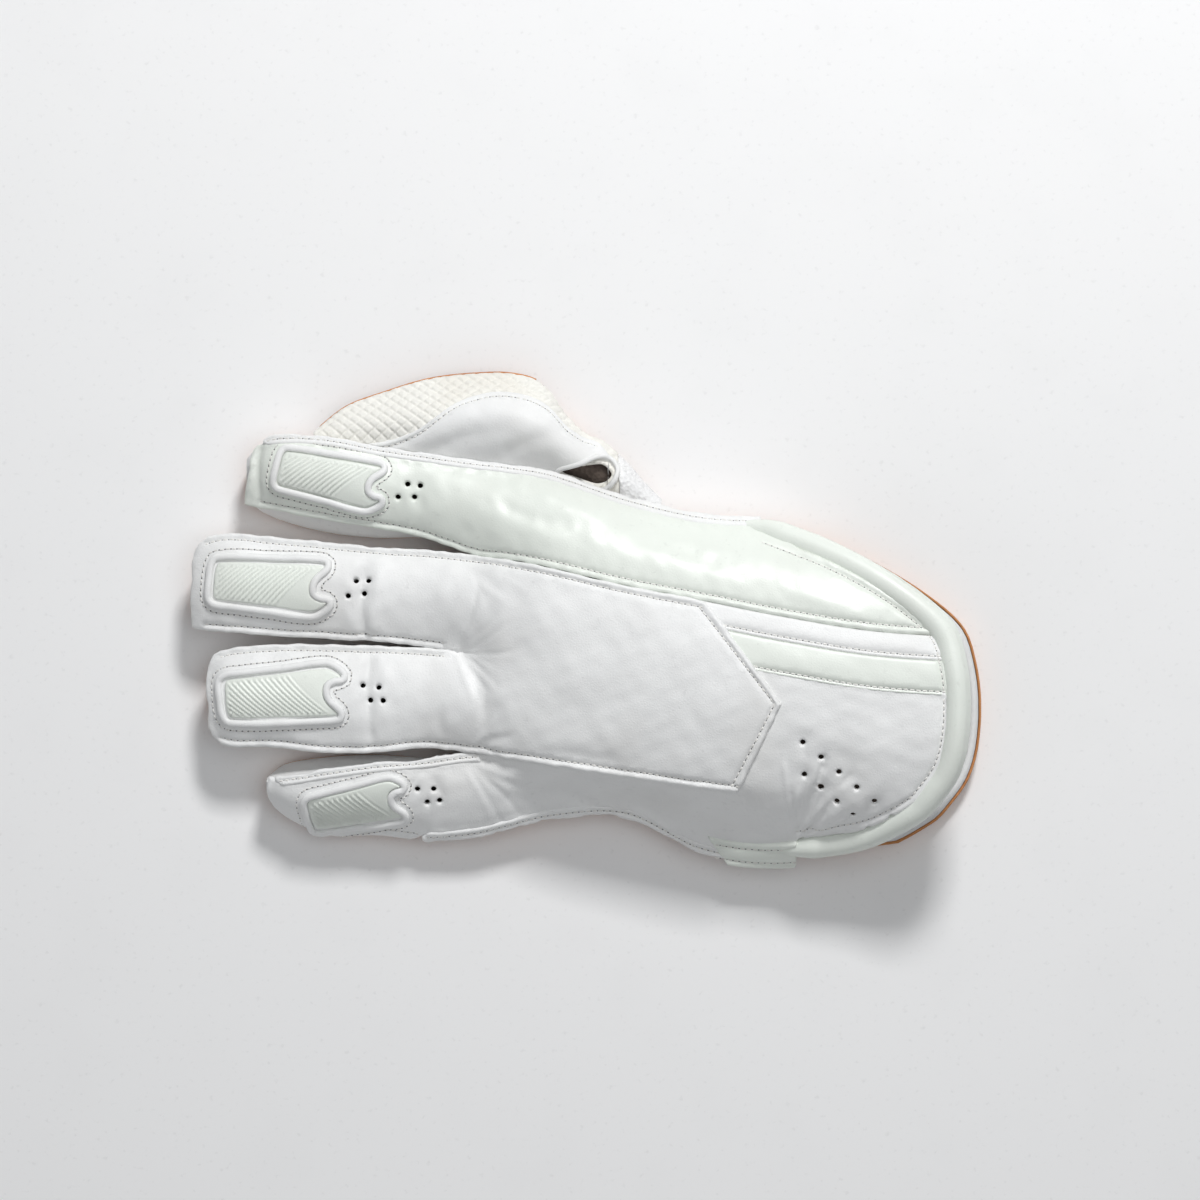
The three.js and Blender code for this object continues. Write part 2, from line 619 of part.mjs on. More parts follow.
const centralLayer = union([
  fingerLid(strips.middle, PANEL_RISE),
  fingerLid(strips.ring, PANEL_RISE),
  wall([strips.ring, strips.middle], CROTCH, handEnd, -BACK_WALL, PANEL_RISE),
]);
add('back_panel',
  centralLayer.intersect(centralPlan(0)).subtract(fingerVents.middle).subtract(fingerVents.ring),
  COLOURS.leather);

// The stitched lips along the open seams, each between the seam line and the panel behind it
const rimStart = backRim[0][0];
const rimEnd = backRim[backRim.length - 1][0];
const tabEnd = rimEnd - BINDING_RADIUS;
const tabStart = tabEnd - TAB_LENGTH;
const LIPS = {
  index_lip: { band: strips.index, side: 1, from: strips.index.tip, to: rimStart - BINDING_RADIUS },
  little_lip: { band: strips.little, side: 1, from: strips.little.tip, to: CROTCH },
  side_lip: { band: strips.little, side: -1, from: 0, to: tabStart - GAP },
};
function lipPlan({ band, side, from, to }, distance) {
  const line = side < 0 ? band.low : band.high;
  const stations = [from, ...band.stations.filter((x) => x > from && x < to), to];
  const edge = (inward) => stations.map((x) => [x, line.y(x) - side * inward]);
  return prism(grown([...edge(0), ...edge(LIP_WIDTH - GAP).reverse()], distance));
}
for (const [name, place] of Object.entries(LIPS)) {
  add(name, wall([place.band], place.from, place.to, -BACK_WALL, LIP_RISE).intersect(lipPlan(place, 0)),
    COLOURS.leather);
}

// The index panel, one glossy strip from the fingertip to the cuff, behind its stitched lip
add('index_panel',
  wall([strips.index], strips.index.tip, handEnd, -BACK_WALL, 0)
    .intersect(panelPlan).subtract(lipPlan(LIPS.index_lip, GAP)).subtract(fingerVents.index),
  COLOURS.gloss);

// The two straps that run from the point of the central panel to the cuff, side by side
function strapPlan(from, to) {
  const stations = STRAP_STATIONS.map(handX);
  const line = (offset) => stations.map((x) => [x, strips.middle.high.y(x) - offset]);
  return prism([...line(from), ...line(to).reverse()]);
}
const cuffTop = wall([strips.middle], handX(STRAP_STATIONS[0]), handEnd, -BACK_WALL, STRAP_RISE);
const strapEnd = centralPlan(GAP);
add('cuff_strap_upper',
  cuffTop.intersect(strapPlan(SEAM_GAP, UPPER_STRAP_WIDTH - SEAM_GAP))
    .intersect(panelPlan).subtract(strapEnd),
  COLOURS.leather);
add('cuff_strap_lower',
  cuffTop.intersect(strapPlan(UPPER_STRAP_WIDTH + SEAM_GAP, UPPER_STRAP_WIDTH + LOWER_STRAP_WIDTH - SEAM_GAP))
    .intersect(panelPlan).subtract(strapEnd),
  COLOURS.gloss);

// The outer panel: the back of the little finger, the side of the hand and the vented cuff in one hide
const cuffVents = vents(CUFF_VENT_ROWS.flatMap(({ x, y, count }) => {
  const angle = degToRad(CUFF_VENT_TURN);
  return Array.from({ length: count }, (_, i) => [
    handX(x) + i * CUFF_VENT_PITCH * Math.cos(angle),
    y * HAND_WIDTH + i * CUFF_VENT_PITCH * Math.sin(angle),
  ]);
}));
function tabPlan(distance) {
  const stations = evenly(tabStart, tabEnd, TAB_WIDTH);
  const line = (offset) => stations.map((x) => [x, strips.little.low.y(x) + offset]);
  return prism(grown([...line(LIP_WIDTH - TAB_WIDTH), ...line(LIP_WIDTH - GAP).reverse()], distance));
}
const cuffWing = wall([strips.little, strips.ring, strips.middle], handX(WING_FROM), handEnd, -BACK_WALL, 0)
  .subtract(strapPlan(-FAR / 4, UPPER_STRAP_WIDTH + LOWER_STRAP_WIDTH));
add('outer_panel',
  wall([strips.little], strips.little.tip, handX(WING_FROM) + FLANGE, -BACK_WALL, 0).add(cuffWing)
    .intersect(panelPlan).subtract(lipPlan(LIPS.little_lip, GAP)).subtract(lipPlan(LIPS.side_lip, GAP))
    .subtract(tabPlan(GAP)).subtract(centralPlan(GAP))
    .subtract(fingerVents.little).subtract(cuffVents),
  COLOURS.leather);

// A rounded bar along a line of points, its width level and its height upright
function bar(points, width, height, step, sides) {
  const path = new THREE.CatmullRomCurve3(points);
  const steps = Math.round(path.getLength() / step);
  return loft(Array.from({ length: steps + 1 }, (_, i) => {
    const middle = path.getPointAt(i / steps);
    const tangent = path.getTangentAt(i / steps);
    const across = new THREE.Vector3(-tangent.y, tangent.x, 0).normalize();
    return Array.from({ length: sides }, (_, j) => {
      const angle = (2 * Math.PI * (j + 0.5)) / sides;
      return middle.clone()
        .addScaledVector(across, (Math.cos(angle) * width) / 2)
        .add(new THREE.Vector3(0, 0, (Math.sin(angle) * height) / 2));
    });
  }));
}

// The padded roll round the end of the cuff, at the height of the back that it binds
const backAt = (x, y) => {
  const bands = [strips.little, strips.ring, strips.middle, strips.index];
  const band = bands.find((each) => y <= each.high.y(x)) ?? strips.index;
  const t = clamp((y - band.low.y(x)) / (band.high.y(x) - band.low.y(x)), 0, 1);
  return stripPoint(band, x, t).z;
};
const rollLine = sideways(backRim, -BINDING_RADIUS);
const rollPoints = rollLine.map(([x, y]) => new THREE.Vector3(x, y, backAt(x, y) - BACK_WALL / 2));
add('cuff_binding',
  bar(rollPoints, 2 * BINDING_RADIUS, 2 * BINDING_RADIUS, ROLL_STEP, ROLL_SIDES),
  COLOURS.gloss);

// The shields
function windowOutline(size, flip) {
  const l = GUARD_LENGTH * size;
  const w = GUARD_WIDTH * size;
  const shape = new THREE.Shape();
  shape.moveTo(-0.45 * l, 0.46 * w);
  shape.lineTo(0.4 * l, 0.46 * w);
  shape.quadraticCurveTo(0.47 * l, 0.44 * w, 0.46 * l, 0.38 * w);
  shape.quadraticCurveTo(0.34 * l, 0.15 * w, 0.33 * l, -0.05 * w);
  shape.quadraticCurveTo(0.34 * l, -0.25 * w, 0.5 * l, -0.26 * w);
  shape.lineTo(0.43 * l, -0.44 * w);
  shape.quadraticCurveTo(0.41 * l, -0.5 * w, 0.34 * l, -0.5 * w);
  shape.lineTo(-0.42 * l, -0.32 * w);
  shape.quadraticCurveTo(-0.5 * l, -0.3 * w, -0.5 * l, -0.2 * w);
  shape.lineTo(-0.48 * l, 0.38 * w);
  const points = shape.getPoints(2).map(({ x, y }) => [x, y * flip]);
  return flip > 0 ? points : points.reverse();
}
for (const guard of GUARDS) {
  const band = strips[guard.finger];
  const base = FINGERS[guard.finger].rise + GAP;
  const place = guardPlace(guard);
  const outline = windowOutline(guard.size, guard.flip);
  const plan = (distance) => prism(grown(outline, distance).map(place));
  const skin = (low, high) => {
    const reach = GUARD_REACH * GUARD_LENGTH;
    const middle = -guard.along * FINGERS[guard.finger].length;
    return wall([band], middle - reach, middle + reach, base + low, base + high);
  };
  const ribs = union(Array.from({ length: RIB_COUNT }, (_, i) => {
    const middle = (i - (RIB_COUNT - 1) / 2) * RIB_PITCH - RIB_SHIFT * GUARD_LENGTH;
    const angle = degToRad(RIB_TURN * guard.flip);
    const along = [Math.cos(angle) * GUARD_WIDTH, Math.sin(angle) * GUARD_WIDTH];
    const half = RIB_WIDTH / 2 / Math.sin(degToRad(RIB_TURN));
    const corners = [
      [middle - half - along[0], -along[1]], [middle + half - along[0], -along[1]],
      [middle + half + along[0], along[1]], [middle - half + along[0], along[1]],
    ];
    return prism(corners.map(place));
  }));
  const plate = skin(0, GUARD_WALL).intersect(plan(-GAP));
  const raised = skin(GUARD_WALL / 2, GUARD_WALL + RIB_HEIGHT).intersect(plan(-2 * GAP)).intersect(ribs);
  add(`${guard.finger}_shield`, plate.add(raised), COLOURS.gloss);
  add(`${guard.finger}_window`,
    skin(0, FRAME_HEIGHT).intersect(plan(FRAME_WIDTH)).subtract(plan(0)),
    COLOURS.leather);
}

// The palm side of the hand, with its tongue under the cuff
const palmColumn = (key) => PALM_FORM.map((row) => [handX(row.along), row[key] * HAND_HEIGHT]);
const rim = curve(palmColumn('rim'));
const flat = () => 0;
const lowered = (line) => ({
  y: line.y,
  z: (x) => (x <= HAND_LENGTH ? Math.min(line.z(x), rim(x)) : rim(x)),
});
const hand = {
  low: lowered(strips.little.low), high: lowered(strips.index.high), lift: raised(palmColumn('lift')),
  lowBulge: flat, highBulge: flat, stations: evenly(0, handEnd, HAND_STEP),
};
const cover = (x) => OVERRUN * clamp((COVER.end - x / HAND_LENGTH) / COVER.fade, 0, 1);
const handBlock = (grow, from = GAP / 2, top = cover) => trough(hand, from, handEnd + OVERRUN, grow, top);
const fingerBlock = (name, grow, to, top, beyond = 0) =>
  trough(strips[name], strips[name].tip, to, grow, top, beyond);
const fingerHollow = (name, to) => fingerBlock(name, -PALM_WALL, to, TALL, -PALM_WALL);
const backLids = [[strips.little], [strips.ring, strips.middle], [strips.index]];
const handCover = union(backLids.map((bands) => headroom(bands, CROTCH, handEnd)));

// The thumb, a tube in its own line, turned into place
const thumbWidth = curve(THUMB_ROWS.map((row) => [row.along * THUMB_LENGTH, (row.width * THUMB_WIDTH) / 2]));
const thumbSeam = curve(THUMB_ROWS.map((row) => [row.along * THUMB_LENGTH, row.seamZ * FINGER_HEIGHT]));
const thumbForm = {
  low: { y: (x) => -thumbWidth(x) - FLANGE, z: thumbSeam },
  high: { y: (x) => thumbWidth(x) + FLANGE, z: thumbSeam },
  lift: raised(THUMB_ROWS.map((row) => [row.along * THUMB_LENGTH, row.lift * FINGER_HEIGHT])),
  lowBulge: flat, highBulge: flat, stations: evenly(0, THUMB_LENGTH, FINGER_STEP), tip: THUMB_LENGTH,
};
const thumbRoot = new THREE.Vector3(THUMB_PLACE.along * HAND_LENGTH, THUMB_PLACE.across * HAND_WIDTH, 0);
function thumbBlock(grow, from, top, beyond) {
  const turned = new THREE.Matrix4().makeRotationZ(degToRad(THUMB_TURN)).setPosition(thumbRoot);
  return trough(thumbForm, from, THUMB_LENGTH, grow, top, beyond).transform(turned.elements);
}
const thumbOuter = (grow, from = 0) => thumbBlock(grow, from, 1.5 * OVERRUN, grow);
const thumbHollow = thumbBlock(-PALM_WALL, -FLANGE, TALL, -PALM_WALL);

const fingerHoles = union(Object.keys(strips).map((name) => fingerHollow(name, PALM_WALL + FLANGE)))
  .intersect(below(DOORWAY.finger * HAND_HEIGHT));
const thumbHole = thumbHollow.intersect(below(DOORWAY.thumb * HAND_HEIGHT));
const palmPlan = (distance) => prism(cuffPlan(palmRim, -distance));
add('palm',
  handBlock(0).subtract(handBlock(-PALM_WALL, GAP / 2 + PALM_WALL, TALL))
    .subtract(handCover).subtract(fingerHoles).subtract(thumbHole).intersect(palmPlan(0)),
  COLOURS.leather);

for (const name of Object.keys(strips)) {
  const band = strips[name];
  const lid = headroom([band], band.tip - OVERRUN, OVERRUN);
  add(`${name}_palm`,
    fingerBlock(name, 0, -GAP / 2, OVERRUN).subtract(fingerHollow(name, FLANGE)).subtract(lid),
    COLOURS.leather);
  add(`${name}_facing`,
    fingerBlock(name, GAP + FACING, -GAP / 2, OVERRUN, GAP + FACING)
      .subtract(fingerBlock(name, GAP, FLANGE, OVERRUN + FLANGE, GAP))
      .intersect(below(FACING_RISE)).subtract(lid),
    COLOURS.facing);
}

// The web and the back of the thumb, between the index finger's side and an outer edge
const webX = (along) => lerp(WEB_PLACE.tip * strips.index.tip, WEB_PLACE.root * HAND_LENGTH, along);
const webColumn = (key, scale) => curve(WEB_ROWS.map((row) => [webX(row.along), row[key] * scale]));
const webReach = webColumn('reach', WEB_REACH);
const web = {
  low: { y: (x) => strips.index.high.y(x) - WEB_TUCK, z: (x) => strips.index.high.z(x) - WEB_DROP },
  high: { y: (x) => strips.index.high.y(x) + webReach(x), z: webColumn('edgeZ', FINGER_HEIGHT) },
  crown: webColumn('crown', FINGER_HEIGHT),
  crownPower: 1.5,
};
const webFrom = webX(WEB_PLACE.from);
const webTo = webX(WEB_PLACE.to);
web.stations = evenly(webFrom, webTo, WEB_STEP);
const webSkin = (low, high, inset = 0) => wall([web], webFrom, webTo, low, high, inset);
const handSide = (grow) =>
  handBlock(grow, -FLANGE, 2 * OVERRUN).add(fingerBlock('index', grow, FLANGE, 2 * OVERRUN, grow));

const teardrop = (distance) =>
  prism(grown(TEARDROP.map(({ s, up }) => [handX(s), strips.index.high.y(handX(s)) + up]), distance));
const gussetFrom = handX(GUSSET_FROM);
const before = (x) => prism([[-FAR, -FAR], [x, -FAR], [x, FAR], [-FAR, FAR]]);
const after = (x) => prism([[x, -FAR], [FAR, -FAR], [FAR, FAR], [x, FAR]]);
const webBody = webSkin(-BACK_WALL, 0).subtract(handSide(GAP)).subtract(teardrop(0));
add('web', webBody.intersect(before(gussetFrom - GAP / 2)), COLOURS.textured);
add('thumb_gusset', webBody.intersect(after(gussetFrom + GAP / 2)), COLOURS.mesh);

// The smooth leather patch on the web
const patchEdge = new THREE.SplineCurve(PATCH_EDGE.map(({ s, share }) => {
  const x = handX(s);
  return new THREE.Vector2(x, strips.index.high.y(x) + share * webReach(x));
})).getPoints(PATCH_STEPS).map(({ x, y }) => [x, y]);
const patchFoot = PATCH_FOOT.map((s) => [handX(s), strips.index.high.y(handX(s)) + GAP]);
add('web_patch',
  webSkin(GAP, GAP + PATCH_WALL, -FLANGE)
    .intersect(prism([...patchEdge, ...patchFoot])).subtract(teardrop(4 * GAP)),
  COLOURS.leather);

const webCover = webSkin(-BACK_WALL - GAP, TALL, -FLANGE);
add('thumb_palm',
  thumbOuter(0).subtract(thumbHollow).subtract(handSide(GAP)).subtract(webCover).intersect(before(webTo)),
  COLOURS.leather);
add('thumb_facing',
  thumbOuter(GAP + FACING).subtract(thumbOuter(GAP, -GAP)).subtract(handSide(GAP))
    .subtract(fingerBlock('index', FACING + 2 * GAP, -GAP / 2, 2 * OVERRUN, FACING))
    .intersect(below(FACING_RISE)),
  COLOURS.facing);
add('web_facing',
  webSkin(-BACK_WALL - GAP - FACING, -BACK_WALL - GAP, -WEB_RIM).subtract(handSide(FACING + 2 * GAP))
    .subtract(thumbOuter(FACING + 2 * GAP)).intersect(before(handX(WEB_FACING_TO))),
  COLOURS.facing);
add('palm_facing',
  handBlock(GAP + FACING).subtract(handBlock(GAP, -FLANGE, 2 * OVERRUN)).intersect(below(FACING_RISE))
    .intersect(palmPlan(0)).subtract(thumbOuter(FACING + 2 * GAP)),
  COLOURS.facing);

// The flat end of the binding on the little finger's side
add('cuff_tab',
  wall([strips.little], tabStart, tabEnd, -BACK_WALL, LIP_RISE, LIP_WIDTH - TAB_WIDTH).intersect(tabPlan(0)),
  COLOURS.gloss);

// The origin goes under the centre of the glove's box.
const box = new THREE.Box3().setFromObject(glove, true);
const centre = box.getCenter(new THREE.Vector3());
glove.position.set(-centre.x, -centre.y, -box.min.z);

export default glove;
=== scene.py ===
"""A wicketkeeping glove for the left hand, lying on its palm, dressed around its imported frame.

The glove is modelled in millimetres in its own plan, where X is measured from the knuckles towards the cuff
and Y from the middle of the hand towards the thumb. A finished mesh is moved into the frame, in metres.
"""

import logging
import math
from dataclasses import dataclass, field
from enum import Enum
from typing import Callable, Iterable, NamedTuple, Sequence

import bmesh
import bpy
import numpy as np
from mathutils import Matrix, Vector
from mathutils.geometry import delaunay_2d_cdt


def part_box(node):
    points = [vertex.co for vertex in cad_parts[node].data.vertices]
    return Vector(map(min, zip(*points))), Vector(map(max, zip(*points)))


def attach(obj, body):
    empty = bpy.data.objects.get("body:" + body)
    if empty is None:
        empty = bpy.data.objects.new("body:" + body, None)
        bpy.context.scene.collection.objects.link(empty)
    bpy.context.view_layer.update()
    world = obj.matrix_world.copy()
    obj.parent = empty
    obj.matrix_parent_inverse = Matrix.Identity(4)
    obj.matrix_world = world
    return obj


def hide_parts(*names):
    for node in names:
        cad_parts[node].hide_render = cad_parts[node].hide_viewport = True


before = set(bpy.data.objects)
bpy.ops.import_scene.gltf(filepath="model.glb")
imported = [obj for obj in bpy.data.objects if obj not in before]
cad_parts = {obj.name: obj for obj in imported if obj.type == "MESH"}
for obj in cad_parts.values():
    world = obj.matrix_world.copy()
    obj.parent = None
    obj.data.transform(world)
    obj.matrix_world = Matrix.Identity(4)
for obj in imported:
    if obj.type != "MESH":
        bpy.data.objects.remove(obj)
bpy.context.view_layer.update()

log = logging.getLogger("glove")

Array = np.ndarray
Curve = Callable[[Array], Array]
HeightField = Callable[[Array, Array], Array]
Material = bpy.types.Material
NodeTree = bpy.types.NodeTree
Socket = bpy.types.NodeSocket

MM = 0.001
COAT_ROUGHNESS = 0.32
BODY = "root"

# Sizes of the glove, as in its frame
HAND_LENGTH = 120.0
HAND_WIDTH = 150.0
HAND_HEIGHT = 58.0
CUFF_LENGTH = 75.0
PALM_REACH = 7.0
PALM_LEAN = 2.0
FINGER_HEIGHT = 30.0
THUMB_LENGTH = 88.0
THUMB_WIDTH = 34.0
THUMB_TURN = math.radians(137)
THUMB_ROOT = (0.56 * HAND_LENGTH, 0.183 * HAND_WIDTH)
WEB_REACH = 37.0
WEB_DROP = 7.0
WEB_TOP_Y = 98.82

# Walls and layers
BACK_WALL = 3.0
UNDER_BACK = 3.1
PALM_WALL = 3.4
TIP_WALL = 6.2
FACING = 2.0
FACING_RISE = 8.0
PANEL_RISE = 1.6
STRAP_RISE = 0.8
PATCH_WALL = 1.6
GAP = 0.3
FLANGE = 2.0
BINDING_RADIUS = 5.2
LIP_WIDTH = 4.6
CROTCH = -8.0
CEILING = 0.36 * HAND_HEIGHT

# Stitches and vents
SEAM_INSET = 2.9
STITCH_PITCH = 2.5
STITCH_LENGTH = 1.75
THREAD = 0.7
VENT_RADIUS = 1.1
VENT_SIDES = 10


class Station(NamedTuple):
    """A finger's section: places as shares of its length, its width and FINGER_HEIGHT."""

    along: float
    drift: float
    width: float
    low_z: float
    high_z: float
    crown: float
    lift: float
    low_bulge: float
    high_bulge: float


# The five lines of the back at shares along the hand: Y in shares of HAND_WIDTH, Z in shares of HAND_HEIGHT
HAND_ALONG = (0.0, 0.1, 0.25, 0.5, 0.75, 1.0, 1.5, 2.15)
HAND_LINES = {
    "outer": ((-0.585, -0.566, -0.537, -0.533, -0.627, -0.65, -0.62, -0.58),
              (0.24, 0.25, 0.27, 0.28, 0.29, 0.31, 0.38, 0.46)),
    "ring": ((-0.355, -0.368, -0.387, -0.416, -0.444, -0.467, -0.48, -0.46),
             (0.46, 0.55, 0.66, 0.73, 0.77, 0.8, 0.85, 0.87)),
    "crest": ((-0.093, -0.103, -0.12, -0.155, -0.19, -0.222, -0.223, -0.217),
              (0.46, 0.64, 0.79, 0.88, 0.93, 0.97, 1.0, 1.0)),
    "index": ((0.165, 0.155, 0.133, 0.085, 0.047, 0.007, -0.033, -0.053),
              (0.46, 0.58, 0.73, 0.82, 0.87, 0.91, 0.94, 0.94)),
    "inner": ((0.42, 0.411, 0.39, 0.323, 0.277, 0.267, 0.255, 0.245),
              (0.43, 0.44, 0.45, 0.47, 0.48, 0.46, 0.48, 0.52)),
}

# Bulge of each strip over the straight line between its edges, in shares of HAND_HEIGHT
HAND_CROWNS = {
    "little": (0.09, 0.04, -0.04, -0.12, -0.12, 0.0, 0.07, 0.07),
    "ring": (0.13, 0.07, 0.03, 0.03, 0.03, 0.03, 0.04, 0.04),
    "middle": (0.13, 0.07, 0.03, 0.03, 0.03, 0.03, 0.03, 0.03),
    "index": (0.13, 0.11, 0.1, 0.1, 0.11, 0.12, 0.12, 0.11),
}

# Lift of the palm side's floor and height of its rim, in shares of HAND_HEIGHT
PALM_ROWS = {
    "along": (0.0, 0.3, 0.55, 1.0, 1.12, 1.4, 2.2),
    "lift": (0.05, 0.03, 0.0, 0.0, 0.0, 0.0, 0.0),
    "rim": (0.4, 0.4, 0.4, 0.36, 0.26, 0.15, 0.12),
}


@dataclass(frozen=True)
class FingerForm:
    """A finger's own sizes and the two lines of the hand that its edges run into."""

    length: float
    width: float
    low_line: str
    high_line: str
    rise: float
    rows: tuple[Station, ...]
    tip_cut: tuple[tuple[float, float], ...]


FINGERS = {
    "index": FingerForm(92.0, 34.0, "index", "inner", 0.0, (
        Station(0.22, 0.053, 1.01, 0.76, 0.84, 0.2, 0.14, 0.1, 0.02),
        Station(0.43, 0.09, 0.98, 0.74, 0.84, 0.2, 0.12, 0.24, 0.02),
        Station(0.65, 0.129, 1.0, 0.74, 0.84, 0.2, 0.04, 0.28, 0.02),
        Station(0.87, 0.152, 0.9, 0.7, 0.8, 0.17, 0.0, 0.22, 0.02),
        Station(1.0, 0.14, 0.7, 0.58, 0.66, 0.08, 0.16, 0.08, 0.02),
    ), ((0.0, -1.2), (0.15, -1.0), (0.5, 0.8), (0.85, 2.6), (1.0, 5.5))),
    "middle": FingerForm(113.0, 38.0, "crest", "index", PANEL_RISE, (
        Station(0.18, 0.023, 1.0, 0.76, 0.78, 0.2, 0.14, 0, 0),
        Station(0.35, 0.037, 0.98, 0.76, 0.78, 0.19, 0.14, 0, 0),
        Station(0.53, 0.051, 1.0, 0.76, 0.78, 0.19, 0.1, 0, 0),
        Station(0.71, 0.065, 1.02, 0.75, 0.77, 0.19, 0.03, 0, 0),
        Station(0.89, 0.078, 1.02, 0.73, 0.75, 0.17, 0.0, 0, 0),
        Station(0.97, 0.068, 0.92, 0.68, 0.7, 0.12, 0.06, 0, 0),
        Station(1.0, 0.045, 0.74, 0.6, 0.62, 0.08, 0.14, 0, 0),
    ), ((0.0, 0.6), (0.12, -0.3), (0.5, 0.4), (0.85, 1.2), (1.0, 3.0))),
    "ring": FingerForm(107.0, 40.0, "ring", "crest", PANEL_RISE, (
        Station(0.19, 0.017, 0.98, 0.77, 0.77, 0.2, 0.14, 0, 0),
        Station(0.37, 0.013, 1.05, 0.76, 0.76, 0.19, 0.14, 0, 0),
        Station(0.56, 0.015, 1.07, 0.76, 0.76, 0.19, 0.1, 0, 0),
        Station(0.75, 0.026, 1.01, 0.75, 0.75, 0.19, 0.03, 0, 0),
        Station(0.93, 0.019, 0.95, 0.7, 0.72, 0.16, 0.0, 0, 0),
        Station(1.0, 0.028, 0.72, 0.6, 0.62, 0.08, 0.14, 0, 0),
    ), ((0.0, 3.2), (0.14, 0.6), (0.32, 0.9), (0.55, 0.0), (0.86, 0.5), (1.0, 2.6))),
    "little": FingerForm(84.0, 32.0, "outer", "ring", 0.0, (
        Station(0.24, -0.025, 1.06, 0.4, 0.9, 0.2, 0.1, 0.02, 0.1),
        Station(0.476, -0.023, 0.95, 0.36, 0.92, 0.2, 0.06, 0.02, 0.2),
        Station(0.714, -0.039, 0.86, 0.34, 0.9, 0.19, 0.02, 0.02, 0.26),
        Station(0.905, -0.012, 0.56, 0.44, 0.84, 0.14, 0.0, 0.02, 0.24),
        Station(1.0, 0.03, 0.34, 0.58, 0.74, 0.06, 0.12, 0.02, 0.1),
    ), ((0.0, 3.0), (0.3, 0.6), (0.6, 0.0), (1.0, 1.2))),
}

# The thumb: width in shares of THUMB_WIDTH, the others of FINGER_HEIGHT
THUMB_ROWS = {
    "along": (0.0, 0.3, 0.6, 0.8, 0.92, 1.0),
    "width": (1.0, 1.0, 1.0, 0.94, 0.76, 0.44),
    "seam": (0.8, 0.8, 0.8, 0.8, 0.76, 0.7),
    "lift": (0.0, 0.0, 0.02, 0.02, 0.06, 0.16),
}

# The web from the index finger to its root: reach in shares of WEB_REACH, the others of FINGER_HEIGHT
WEB_ROWS = {
    "along": (0.0, 0.091, 0.194, 0.309, 0.437, 0.54, 0.604, 0.655, 0.704, 0.747, 0.79, 0.829, 0.865, 0.91),
    "reach": (0.02, 0.38, 0.63, 0.84, 0.97, 1.0, 0.92, 0.69, 0.56, 0.55, 0.46, 0.34, 0.2, 0.06),
    "edge": (0.6, 0.5, 0.44, 0.42, 0.43, 0.44, 0.45, 0.46, 0.46, 0.46, 0.48, 0.52, 0.58, 0.66),
    "crown": (0.02, 0.1, 0.2, 0.3, 0.4, 0.45, 0.42, 0.36, 0.3, 0.26, 0.22, 0.16, 0.1, 0.04),
}

# The end of the cuff: shares of CUFF_LENGTH from the side seams and of HAND_WIDTH
CUFF_OUTLINE = (
    (-0.03, 0.267), (0.25, 0.214), (0.505, 0.15), (0.755, 0.065), (0.92, -0.018), (0.98, -0.117), (1.0, -0.22),
    (0.985, -0.333), (0.94, -0.415), (0.865, -0.475), (0.77, -0.53), (0.47, -0.613), (0.13, -0.643),
)


def curve(xs: Iterable[float], values: Iterable[float]) -> Curve:
    """A smooth curve through points, straight beyond its ends.

    Args:
        xs: Places, rising.
        values: The value at each place.

    Returns:
        A function of an array of places.
    """
    px, pv = np.array(list(xs), float), np.array(list(values), float)
    last = len(px) - 1
    left = np.maximum(np.arange(last + 1) - 1, 0)
    right = np.minimum(np.arange(last + 1) + 1, last)
    slope = (pv[right] - pv[left]) / (px[right] - px[left])

    def value(x: Array) -> Array:
        """The curve's value.

        Args:
            x: Places.

        Returns:
            The value at each place.
        """
        x = np.asarray(x, float)
        i = np.clip(np.searchsorted(px, x, side="right") - 1, 0, last - 1)
        span = px[i + 1] - px[i]
        t = np.clip((x - px[i]) / span, 0, 1)
        held = t * t * (3 - 2 * t)
        bend = span * t * (1 - t) * (slope[i] * (1 - t) - slope[i + 1] * t)
        before = np.where(x < px[0], (x - px[0]) * slope[0], 0)
        past = np.where(x > px[-1], (x - px[-1]) * slope[-1], 0)
        return pv[i] + (pv[i + 1] - pv[i]) * held + bend + (before + past)

    return value


def raised(line: Curve) -> Curve:
    """A curve that never falls below zero."""
    return lambda x: np.maximum(line(x), 0.0)


def hand_x(along: float) -> float:
    """Where a share along the hand or the cuff lies on X."""
    return along * HAND_LENGTH if along <= 1 else HAND_LENGTH + (along - 1) * CUFF_LENGTH


def ease(x: Array, start: float, end: float) -> Array:
    """A smooth step from 0 at start to 1 at end."""
    t = np.clip((np.asarray(x, float) - start) / (end - start), 0, 1)
    return t * t * (3 - 2 * t)


